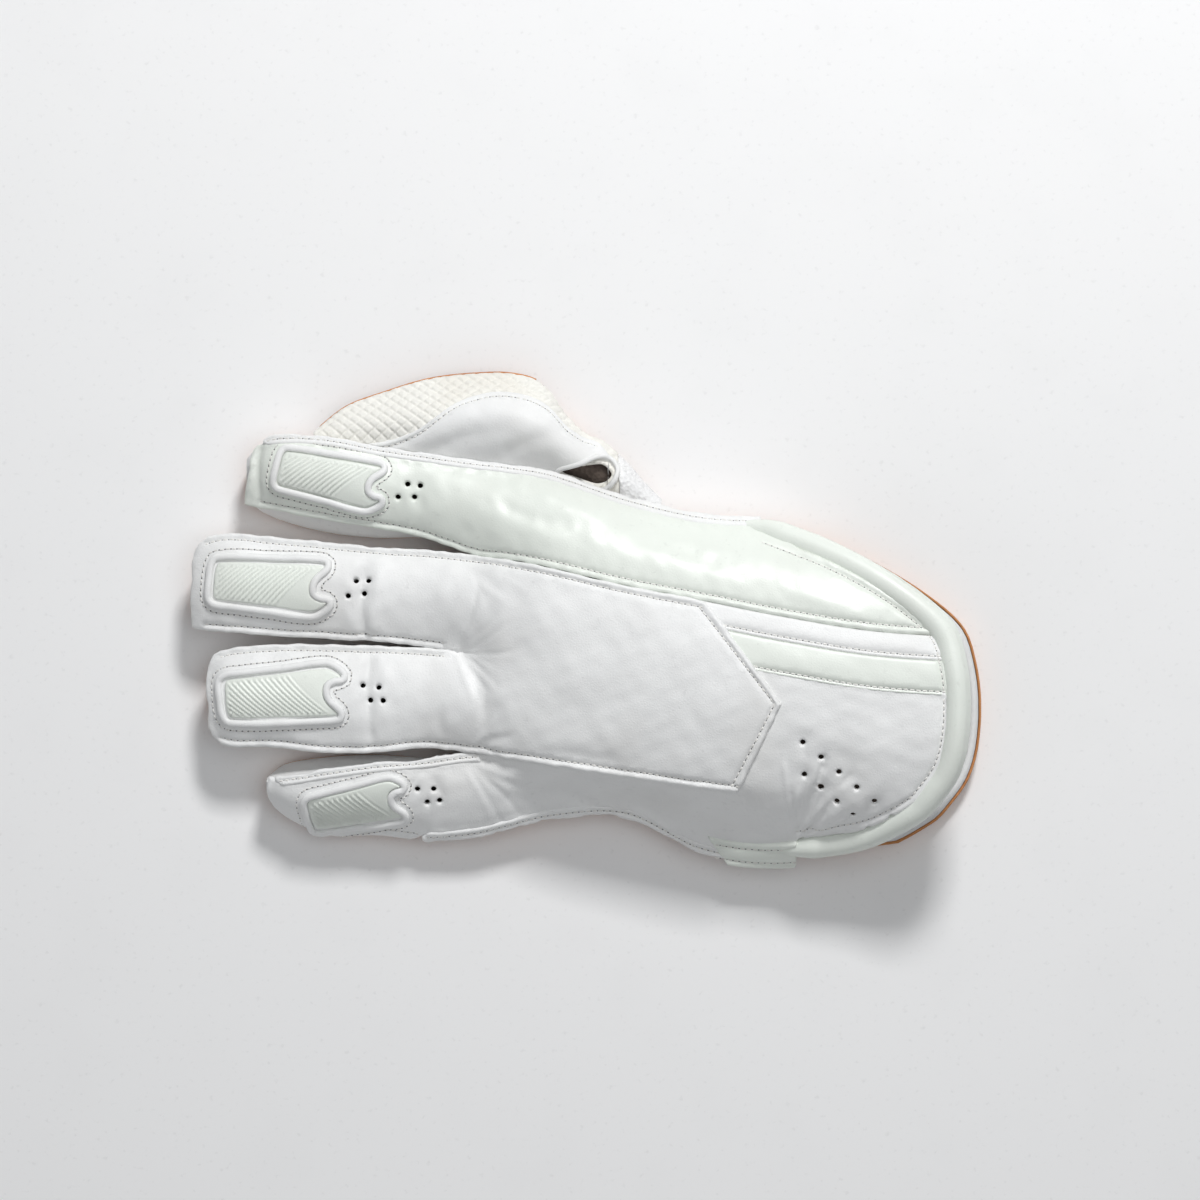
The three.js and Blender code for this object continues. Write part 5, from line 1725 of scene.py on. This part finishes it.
@dataclass
class Stall:
    """The side walls, tip and floor of a finger, the thumb or the hand, as one soft shell."""

    strip: Strip
    start: float
    end: float
    top: float = UNDER_BACK
    turn: Callable[[Array], Array] | None = None
    steps: int = 40
    pitch: float = 3.0
    side: float | None = None
    tip_wall: float = PALM_WALL

    def _stations(self, start: float) -> Array:
        """Places along the shell, closer together at its tip."""
        count = max(2, int((self.end - self.start) / self.pitch))
        return np.concatenate([start + TIP_STEPS, np.linspace(start + DRAWN_IN, self.end, count)])

    def _side(self, grow: float) -> float:
        """How far the side walls stand out for a floor's growth."""
        return grow if self.side is None else min(grow, self.side)

    def _rows(self, grow: float, start: float, height: float | None, top: float) -> Array:
        """The sections from the tip to the root, drawn in towards the tip's end.

        Args:
            grow: How far the floor stands out.
            start: The tip's place on X.
            height: Where the sections stop, if not at the back.
            top: The thickness of the hide and the gap under it.

        Returns:
            Rows of points.
        """
        rows = []
        for x in self._stations(start):
            line = section(self.strip, x, grow, self.steps, self._side(grow))
            along = min(1.0, (x - start) / DRAWN_IN)
            draw = 1 - 0.3 * (1 - along) ** 2.5
            middle = line[:, 0].mean()
            seams = line[[0, -1], 0]
            line[:, 0] = middle + (line[:, 0] - middle) * draw
            climb = self.strip.height(x, line[[0, -1], 0]) - self.strip.height(x, seams)
            line[:, 1] += (1 - along) ** 3 * 3.0 * (1 - (line[:, 1] - line[:, 1].min()) / np.ptp(line[:, 1]))
            if height is not None:
                line = lower_part(line, height + float(self.strip.lift(np.array(x))))
            else:
                first, last = wall_drops(self.strip, self.strip, x, line, top)
                line[:, 1] = topped(line, climb[0] - first, climb[1] - last)
            rows.append(np.column_stack([np.full(len(line), x), line]))
        return np.array(rows)

    def _arch(self, row: Array) -> Array:
        """The top of the wall across the tip, up to the underside of the back.

        Args:
            row: The section at the tip.

        Returns:
            Points from its start to its end.
        """
        y = np.linspace(row[0, 1], row[-1, 1], 11)[1:-1]
        x = np.full_like(y, row[0, 0])
        seam = row[0, 2] + (row[-1, 2] - row[0, 2]) * np.linspace(0, 1, 11)[1:-1]
        return np.column_stack([x, y, np.maximum(self.strip.height(x, y) - self.top, seam + 0.05)])

    def shell(self, outer_grow: float, inner_grow: float, height: float | None, inner_slot: int) -> Mesh:
        """The closed shell between two grown sections.

        Args:
            outer_grow: How far the outer face stands out.
            inner_grow: How far the inner face stands out.
            height: Where the shell stops, or None for one that reaches up to the back.
            inner_slot: The material slot of the inner face.

        Returns:
            The mesh.
        """
        outer = self._rows(outer_grow, self.start - self._side(outer_grow), height, self.top)
        inset = self.tip_wall if height is None else -self._side(inner_grow)
        inner = self._rows(inner_grow, self.start + inset, height, self.top)
        rows, columns = outer.shape[:2]
        arches = []
        if height is None and float(self.strip.crown(np.array(self.start))) > 0.5:
            arches = [self._arch(outer[0]), self._arch(inner[0])]
        if self.turn:
            outer, inner = self.turn(outer), self.turn(inner)
        made = Mesh()
        first = made.add(outer.reshape(-1, 3), grid_faces(rows, columns))
        second = made.add(inner.reshape(-1, 3), grid_faces(rows, columns), inner_slot)
        made.join(lid_faces(first, columns))
        made.join(lid_faces(second, columns), inner_slot)
        tops = [[first, first + columns - 1], [second, second + columns - 1]]
        for top, arch, slot in zip(tops, arches, (0, inner_slot)):
            at = made.add(arch, [])
            top[1:1] = range(at, at + len(arch))
            made.join([top], slot)
        last = (rows - 1) * columns
        made.join([*zip(tops[0], tops[1], tops[1][1:], tops[0][1:]), *side_faces(first, second, rows, columns),
                   *row_faces(first + last, second + last, columns)])
        return made


@dataclass
class FingerStalls:
    """The palm sides of the four fingers with their rubber facings."""

    finishes: Finishes

    def build(self) -> None:
        """Makes each finger's shell and facing."""
        for name, strip in STRIPS.items():
            stall = Stall(strip, strip.tip, -GAP / 2, tip_wall=TIP_WALL)
            shell = stall.shell(0.0, -PALM_WALL, None, 1)
            piece = shell.build(f"{name}_stall", [self.finishes.white, self.finishes.lining])
            dress(piece, "white_leather", f"{name}_palm")
            sole = Stall(strip, strip.tip, -GAP / 2, side=0.1)
            facing = sole.shell(GAP + FACING, 0.05, 4.5, 0)
            piece = facing.build(f"{name}_rubber", [self.finishes.palm])
            dress(piece, "palm_rubber", f"{name}_facing")


def hand_strip(grow: float = 0.0) -> Strip:
    """The palm side of the hand as one strip, narrowed to the tongue at the cuff.

    Args:
        grow: How far the section that is taken from it stands out, which the tongue's end follows.

    Returns:
        The strip.
    """
    little, index = STRIPS["little"], STRIPS["index"]
    rim_z = curve([hand_x(a) for a in PALM_ROWS["along"]], [r * HAND_HEIGHT for r in PALM_ROWS["rim"]])
    lift = raised(curve([hand_x(a) for a in PALM_ROWS["along"]], [r * HAND_HEIGHT for r in PALM_ROWS["lift"]]))
    rim = cuff_rim(CUFF_LENGTH + PALM_REACH, PALM_LEAN, -grow)
    end = int(np.argmax(rim[:, 0]))
    high_rim, low_rim = rim[:end + 1], rim[end:][::-1]

    def side(line: Curve, edge: Array, pick: Callable[[Array, Array], Array], shift: float) -> Curve:
        """The hand's edge, then the tongue's."""
        def value(x: Array) -> Array:
            """The edge's Y at each place."""
            tongue = np.interp(x, edge[:, 0], edge[:, 1]) + shift
            return np.where(np.asarray(x) > HAND_LENGTH * 0.9, pick(line(x), tongue), line(x))
        return value

    def capped(line: Curve) -> Curve:
        """The seam under the back, which falls to the open rim of the tongue past the hand."""
        start, end = 0.92 * HAND_LENGTH, 1.03 * HAND_LENGTH
        return lambda x: line(x) + np.minimum(rim_z(x) - line(x), 0) * ease(x, start, end)

    return Strip(
        side(little.low_y, low_rim, np.maximum, grow - FLANGE), capped(little.low_z),
        side(index.high_y, high_rim, np.minimum, FLANGE - grow), capped(index.high_z), np.zeros_like, lift=lift,
    )


@dataclass
class Palm:
    """The floor, the side walls and the front wall of the hand, with the tongue under the cuff."""

    finishes: Finishes

    def _rows(self, grow: float, height: float | None, front: float) -> Array:
        """Sections from the knuckles to the tongue's end.

        Args:
            grow: How far the floor stands out.
            height: Where the sections stop, if not at the back.
            front: The first place on X.

        Returns:
            Rows of points.
        """
        side = min(grow, 1.2)
        strip = hand_strip(side)
        end = float(cuff_rim(CUFF_LENGTH + PALM_REACH, PALM_LEAN, -side)[:, 0].max()) - 0.05
        late = end - 26 * np.cos(np.linspace(0, np.pi / 2, 22)[1:]) ** 2
        xs = np.concatenate([np.linspace(front, end - 27, 56), late])
        rows = []
        for x in xs:
            line = section(strip, x, grow, 56, side)
            if height is not None:
                line = lower_part(line, height + float(strip.lift(np.array(x))))
            else:
                covered = UNDER_BACK * (1 - ease(x, HAND_LENGTH * 0.93, HAND_LENGTH * 1.05))
                first, last = wall_drops(STRIPS["little"], STRIPS["index"], x, line, covered)
                line[:, 1] = topped(line, -first, -last)
            rows.append(np.column_stack([np.full(len(line), x), line]))
        return np.array(rows)

    def _shell(self, outer_grow: float, inner_grow: float, height: float | None) -> Mesh:
        """The shell between two grown sections, open at the back and at the cuff.

        Args:
            outer_grow: How far the outer face stands out.
            inner_grow: How far the inner face does.
            height: Where it stops, if not at the back.

        Returns:
            The mesh.
        """
        outer = self._rows(outer_grow, height, GAP / 2)
        inner = self._rows(inner_grow, height, GAP / 2)
        rows, columns = outer.shape[:2]
        made = Mesh()
        first = made.add(outer.reshape(-1, 3), grid_faces(rows, columns))
        second = made.add(inner.reshape(-1, 3), grid_faces(rows, columns), 1)
        last = (rows - 1) * columns
        made.join([*side_faces(first, second, rows, columns), *row_faces(first, second, columns),
                   (first + last, second + last, second + last + columns - 1, first + last + columns - 1)])
        made.join(lid_faces(first + last, columns))
        made.join(lid_faces(second + last, columns), 1)
        return made

    def _front(self) -> Mesh:
        """The front wall with a hole for each finger."""
        back = Back([STRIPS[name] for name in ("little", "ring", "middle", "index")])
        line = section(hand_strip(), GAP / 2, -0.4, 56)
        ys = np.linspace(line[-1, 0], line[0, 0], 40)
        roof = table(ys, back.height(np.zeros_like(ys), ys) - BACK_WALL - 0.5)
        outline = np.vstack([line[1:-1], roof])
        holes = []
        for finger in STRIPS.values():
            ring = section(finger, 0.0, -PALM_WALL, 24)
            ring[:, 1] = np.minimum(ring[:, 1], CEILING)
            holes.append(ring[1:-1])
        wall = Panel("front", outline, lambda y, z: np.zeros_like(y), 0.0, PALM_WALL, holes, spacing=3.0,
                     puff=0.0, uneven=0.0, edge=0.5)
        flat = wall.mesh()
        flat.points = [table(GAP / 2 + 0.4 - p[:, 2], p[:, 0], p[:, 1]) for p in flat.points]
        return flat

    def build(self) -> None:
        """Makes the palm and its rubber facing."""
        shell = self._shell(0.0, -PALM_WALL, None)
        piece = shell.build("palm_shell", [self.finishes.white, self.finishes.lining])
        dress(piece, "white_leather", "palm")
        front = self._front().build("palm_front", [self.finishes.lining, self.finishes.lining])
        dress(front, "white_leather", "palm")
        facing = self._shell(GAP + FACING, GAP, FACING_RISE)
        piece = facing.build("palm_rubber_face", [self.finishes.palm, self.finishes.palm])
        dress(piece, "palm_rubber", "palm_facing")


def web_strip() -> Strip:
    """The web and the back of the thumb, between the index finger's side and an outer edge."""
    index = STRIPS["index"]
    start, end = 0.717 * index.tip, 0.75 * HAND_LENGTH
    xs = [start + along * (end - start) for along in WEB_ROWS["along"]]
    reach = curve(xs, [r * WEB_REACH for r in WEB_ROWS["reach"]])
    return Strip(
        lambda x: index.high_y(x) - FLANGE - 1, lambda x: index.high_z(x) - WEB_DROP,
        lambda x: index.high_y(x) + reach(x), curve(xs, [z * FINGER_HEIGHT for z in WEB_ROWS["edge"]]),
        curve(xs, [c * FINGER_HEIGHT for c in WEB_ROWS["crown"]]), tip=start, power=1.5,
    )


@dataclass
class Thumb:
    """The web with its diamonds, the leather patch, the mesh gusset and the thumb under them."""

    finishes: Finishes
    strip: Strip = field(default_factory=web_strip)

    def _teardrop(self, grow: float) -> Array:
        """The hole at the crotch of the thumb, grown by a distance.

        Args:
            grow: The distance.

        Returns:
            The hole's rim.
        """
        rim = ((0.285, 1.0), (0.36, 6.2), (0.418, 10.4), (0.44, 10.0), (0.452, 7.6), (0.432, 3.4), (0.4, 1.0),
               (0.34, 0.6))
        base = STRIPS["index"].high_y
        loop = [(hand_x(share), float(base(hand_x(share))) + up) for share, up in rim]
        return grown(rounded(loop, 0.6, closed=True), grow)

    def _edge_line(self, share: Callable[[Array], Array], start: float, end: float) -> Array:
        """A line across the web at a share of its reach.

        Args:
            share: The share at each place.
            start: Where the line starts on X.
            end: Where it ends.

        Returns:
            The line.
        """
        xs = np.linspace(start, end, max(4, int(abs(end - start) / 2)))
        foot = STRIPS["index"].high_y(xs)
        return table(xs, foot + share(xs) * (self.strip.high_y(xs) - foot))

    def _diamonds(self, points: Array) -> Array:
        """The relief of the diamonds moulded into the rubber.

        Args:
            points: Places in the plan.

        Returns:
            The heights.
        """
        x, y = points[:, 0], points[:, 1]
        arc = y - 0.3 * self.strip.height(x, y)
        pitch_x, pitch_y = 5.4, 4.5
        a = x / pitch_x + arc / pitch_y
        b = x / pitch_x - arc / pitch_y
        ridge = np.minimum(np.abs(a - np.round(a)), np.abs(b - np.round(b)))
        return 0.3 - 0.85 * np.exp(-((ridge / 0.1) ** 2))

    def _outline(self, outer: Array, foot: float, count: int = 60) -> Array:
        """A layer's outline, closed along its foot at a distance past the index finger's edge."""
        xs = np.linspace(outer[-1, 0], outer[0, 0], count)
        return np.vstack([table(xs, STRIPS["index"].high_y(xs) + foot), outer])[::-1]

    def build(self) -> None:
        """Makes the web's layers and the thumb."""
        self._rubber()
        self._patch()
        self._thumb()
        self._under_web()

    def _rubber(self) -> None:
        """The web with its diamonds and the mesh gusset behind it."""
        f = self.finishes
        gusset = hand_x(0.478)
        outer = self._edge_line(np.ones_like, self.strip.tip + 0.6, gusset - 0.3)
        rubber = Panel("web_rubber", self._outline(outer, -1.6), self.strip.height, 0.0, 2.2,
                       holes=[self._teardrop(0.2)], relief=self._diamonds, spacing=0.55, fine=0.8, edge=0.9,
                       puff=0.2, uneven=0.1, seed=41)
        rubber.build([f.cream, f.lining], "cream_rubber", "web")
        outer = self._edge_line(np.ones_like, gusset - 0.2, hand_x(0.62))
        knit = Panel("gusset_knit", self._outline(outer, -1.6, 20), self.strip.height, 0.0, 1.6, spacing=1.2,
                     puff=0.3, seed=43)
        knit.build([f.knit, f.lining], "white_mesh", "thumb_gusset")

    def _patch(self) -> None:
        """The leather patch on the web, with its seam and the bound edge of the hole."""
        shares = ((-0.36, 0.02), (-0.2, 0.3), (-0.07, 0.62), (0.035, 0.74), (0.135, 0.76), (0.28, 0.74),
                  (0.33, 0.78), (0.4, 0.86), (0.44, 0.7))
        edge = curve([hand_x(s) for s, _ in shares], [share for _, share in shares])
        outer = self._edge_line(edge, hand_x(-0.36), hand_x(0.44))
        seam = self._edge_line(edge, hand_x(-0.32), hand_x(0.4)) - (0, 2.0)
        patch = Panel("web_patch_hide", self._outline(outer, 0.3), self.strip.height, PATCH_WALL,
                      PATCH_WALL - 0.5, holes=[self._teardrop(1.4)], seams=[seam],
                      folds=[crease([(-30, 62), (-8, 72), (16, 76)], 0.8, 3.0),
                             crease([(-20, 70), (4, 82), (26, 80)], -0.6, 3.5),
                             crease([(10, 66), (24, 72), (34, 72)], 0.7, 2.5)],
                      puff=0.5, uneven=0.2, seed=47)
        patch.build([self.finishes.white, self.finishes.white], "white_leather", "web_patch")
        self._teardrop_edge(patch)
        sewing = Stitching("web_stitches")
        sewing.row(patch, seam)
        sewing.build(self.finishes, "white_leather")

    def _teardrop_edge(self, patch: Panel) -> None:
        """The bound edge of the hole and the lining that shows through it.

        Args:
            patch: The patch round the hole.
        """
        line = resample(self._teardrop(1.9), 0.9, closed=True)
        points, normal = patch.face(line)
        points = points - normal * 0.1
        mesh = Mesh()
        sweep(mesh, points, normal, lambda share: ellipse(2.2, 1.9, 10), closed=True)
        dress(mesh.build("hole_binding", [self.finishes.white]), "white_leather", "web_patch")
        under = Panel("hole_lining", self._teardrop(3.2), lambda x, y: self.strip.height(x, y) - 5.0, 0.0, 1.0,
                      spacing=1.2, puff=0.0, seed=53)
        under.build([self.finishes.lining, self.finishes.lining], "white_mesh", "web")

    def _under_web(self) -> None:
        """The rubber facing under the web, which shows as a thin rim."""
        outer = self._edge_line(np.ones_like, self.strip.tip + 3, hand_x(0.2)) + (0, 0.55)
        rubber = Panel("web_underside", self._outline(outer, 0.5), lambda x, y: self.strip.height(x, y) - 2.6,
                       0.0, 1.9, spacing=2.0, edge=0.8, puff=0.0, seed=49)
        rubber.build([self.finishes.palm, self.finishes.palm], "palm_rubber", "web_facing")

    def _thumb(self) -> None:
        """The thumb's shell and facing, turned into place and cut at the side of the hand."""
        along = [a * THUMB_LENGTH for a in THUMB_ROWS["along"]]
        width = curve(along, [w * THUMB_WIDTH / 2 for w in THUMB_ROWS["width"]])
        seam = curve(along, [s * FINGER_HEIGHT for s in THUMB_ROWS["seam"]])
        lift = raised(curve(along, [s * FINGER_HEIGHT for s in THUMB_ROWS["lift"]]))
        form = Strip(
            lambda x: -width(-x) - FLANGE, lambda x: seam(-x), lambda x: width(-x) + FLANGE, lambda x: seam(-x),
            np.zeros_like, lift=lambda x: lift(-x),
        )
        c, s = math.cos(THUMB_TURN), math.sin(THUMB_TURN)

        def turn(rows: Array) -> Array:
            """Turns the thumb from its own line into the plan."""
            x, y, z = -rows[..., 0], -rows[..., 1], rows[..., 2]
            return np.stack([THUMB_ROOT[0] + x * c - y * s, THUMB_ROOT[1] + x * s + y * c, z], axis=-1)

        def cut(points: Array) -> Array:
            """Whether a point lies within the hand or over the web."""
            over = points[:, 2] > self.strip.height(points[:, 0], points[:, 1]) - 2.4
            return (points[:, 1] < STRIPS["index"].high_y(points[:, 0]) - FLANGE - 1.0) | over

        stall = Stall(form, -THUMB_LENGTH, 0.0, turn=turn)
        shell = stall.shell(0.0, -PALM_WALL, None, 1)
        shell.drop(cut)
        piece = shell.build("thumb_stall", [self.finishes.white, self.finishes.lining])
        dress(piece, "white_leather", "thumb_palm")
        sole = Stall(form, -THUMB_LENGTH, 0.0, turn=turn, side=0.3)
        facing = sole.shell(GAP + FACING, 0.05, 6.0, 0)
        facing.drop(lambda points: points[:, 1] < STRIPS["index"].high_y(points[:, 0]) + 0.5)
        piece = facing.build("thumb_rubber", [self.finishes.palm])
        dress(piece, "palm_rubber", "thumb_facing")


@dataclass
class Cuff:
    """The padded roll round the end of the cuff and its flat end."""

    finishes: Finishes
    radius: float = BINDING_RADIUS

    def _height(self, x: Array, y: Array) -> Array:
        """The height of the back that the roll binds."""
        back = Back([STRIPS[name] for name in ("little", "ring", "middle", "index")], soften=8.0)
        return back.height(x, y)

    def build(self) -> None:
        """Makes the roll, its seam and the tab."""
        rim = cuff_rim(CUFF_LENGTH, 0.0, self.radius)
        before = rim[0] + np.array([(-10.0, 1.6), (-5.0, 1.0)])
        after = rim[-1] + np.array([(-4.0, -0.4), (-8.0, -0.6)])
        line = resample(np.vstack([before, rim, after]), 1.6)
        height = self._height(line[:, 0], line[:, 1]) - BACK_WALL / 2
        path = np.column_stack([line, height])
        up = normals_3d(self._height, line[:, 0], line[:, 1], 1.0)
        rng = np.random.default_rng(5)
        pull = np.convolve(rng.normal(0, 1, len(line) + 6), np.ones(7) / 7, "valid")

        def profile(share: float) -> Array:
            """The roll's section: full, pressed in at its seam, thinner at its two ends.

            Args:
                share: The share of the roll's length.

            Returns:
                Points (across, up).
            """
            first, last = min(1.0, share / 0.07), min(1.0, (1 - share) / 0.06)
            full = self.radius * min(0.3 + 0.7 * max(first, 0.0) ** 0.7,
                                     0.25 + 0.75 * max(last, 0.0) ** 0.7)
            size = full * (1 + 0.035 * pull[min(int(share * (len(pull) - 1)), len(pull) - 1)])
            angle = np.linspace(0, 2 * np.pi, 28, endpoint=False)
            dent = 0.12 * np.exp(-((angle - math.radians(35)) / 0.16) ** 2)
            reach = size * (1 - dent)
            return table(np.cos(angle) * reach, np.sin(angle) * reach)

        mesh = Mesh()
        sweep(mesh, path, up, profile)
        piece = mesh.build("cuff_roll", [self.finishes.gloss])
        dress(piece, "gloss_leather", "cuff_binding")
        self._tab()

    def _tab(self) -> None:
        """The flat stitched end of the binding on the little finger's side."""
        strip = STRIPS["little"]
        end = float(cuff_rim(CUFF_LENGTH, 0.0)[-1, 0]) - BINDING_RADIUS
        low_x = np.linspace(end - 24, end + 3.5, 24)
        high_x = np.linspace(end + 3.5, end - 32, 28)
        row_x = np.linspace(end - 28, end + 2.5, 28)
        low = table(low_x, strip.low_y(low_x) - 2.2)
        high = table(high_x, strip.low_y(high_x) + LIP_WIDTH + 3.4)
        seams = [table(row_x, strip.low_y(row_x) + offset) for offset in (0.2, 5.6)]
        tab = Panel("cuff_tab_hide", np.vstack([low, high]), Back([strip]).height, 1.5, BACK_WALL, (), seams,
                    (), puff=0.4, seed=61)
        tab.build([self.finishes.gloss, self.finishes.gloss], "gloss_leather", "cuff_tab")
        sewing = Stitching("tab_stitches")
        for seam in seams:
            sewing.row(tab, seam)
        sewing.build(self.finishes, "white_leather")


@dataclass
class Studio:
    """The floor, the lights and the camera."""

    distance: float = 1.75
    frame_width: float = 0.48
    aim: tuple[float, float] = (0.0062, 0.0076)
    reference: float = 0.02

    def build(self) -> None:
        """Sets up the whole studio."""
        self._floor()
        self._light("key", (0.26, 1.13, 1.15), 0.3, 17.6)
        self._light("top", (0.3, 0.1, 1.85), 1.2, 7.5)
        self._light("fill", (-0.9, -1.1, 1.0), 1.3, 1.8)
        bpy.context.scene.view_settings.view_transform = "Standard"
        world = bpy.data.worlds.new("studio")
        world.use_nodes = True
        background = world.node_tree.nodes["Background"]
        background.inputs["Color"].default_value = (0.93, 0.96, 1.0, 1.0)
        background.inputs["Strength"].default_value = 0.19
        bpy.context.scene.world = world
        self._camera()

    def _floor(self) -> None:
        """The pale floor."""
        finish = Finish("pale_floor", Kind.FLOOR, (0.93, 0.93, 0.93), (0.92, 0.92, 0.92), 0.7, 0.0, 0.02)
        reach = 6.0
        data = bpy.data.meshes.new("floor")
        data.from_pydata([(-reach, -reach, 0), (reach, -reach, 0), (reach, reach, 0), (-reach, reach, 0)], [],
                         [(0, 1, 2, 3)])
        data.materials.append(finish.material())
        floor = bpy.data.objects.new("floor", data)
        floor.location.z = -0.0002
        bpy.context.scene.collection.objects.link(floor)

    def _light(self, name: str, place: tuple[float, float, float], size: float, power: float) -> None:
        """One soft square light aimed at the glove.

        Args:
            name: Its name.
            place: Where it is, in metres.
            size: Its side.
            power: Its power in watts.
        """
        data = bpy.data.lights.new(name, "AREA")
        data.size = size
        data.energy = power
        lamp = bpy.data.objects.new(name, data)
        lamp.location = place
        lamp.rotation_mode = "QUATERNION"
        lamp.rotation_quaternion = (-Vector(place)).to_track_quat("-Z", "Y")
        bpy.context.scene.collection.objects.link(lamp)

    def _camera(self) -> None:
        """The camera, straight above the glove."""
        data = bpy.data.cameras.new("camera")
        data.sensor_width = 36.0
        data.lens = data.sensor_width * (self.distance - self.reference) / self.frame_width
        camera = bpy.data.objects.new("camera", data)
        camera.location = (*self.aim, self.distance)
        bpy.context.scene.collection.objects.link(camera)
        bpy.context.scene.camera = camera


def main() -> None:
    """Builds the studio and every part of the glove."""
    logging.basicConfig(level=logging.INFO, format="%(name)s %(message)s")
    Studio().build()
    finishes = Finishes()
    back = BackOfHand(finishes)
    for part in (Palm(finishes), FingerStalls(finishes), back, Shields(finishes, back.faces), Thumb(finishes),
                 Cuff(finishes)):
        part.build()
        log.info("%s done", type(part).__name__)


if __name__ == "__main__":
    main()
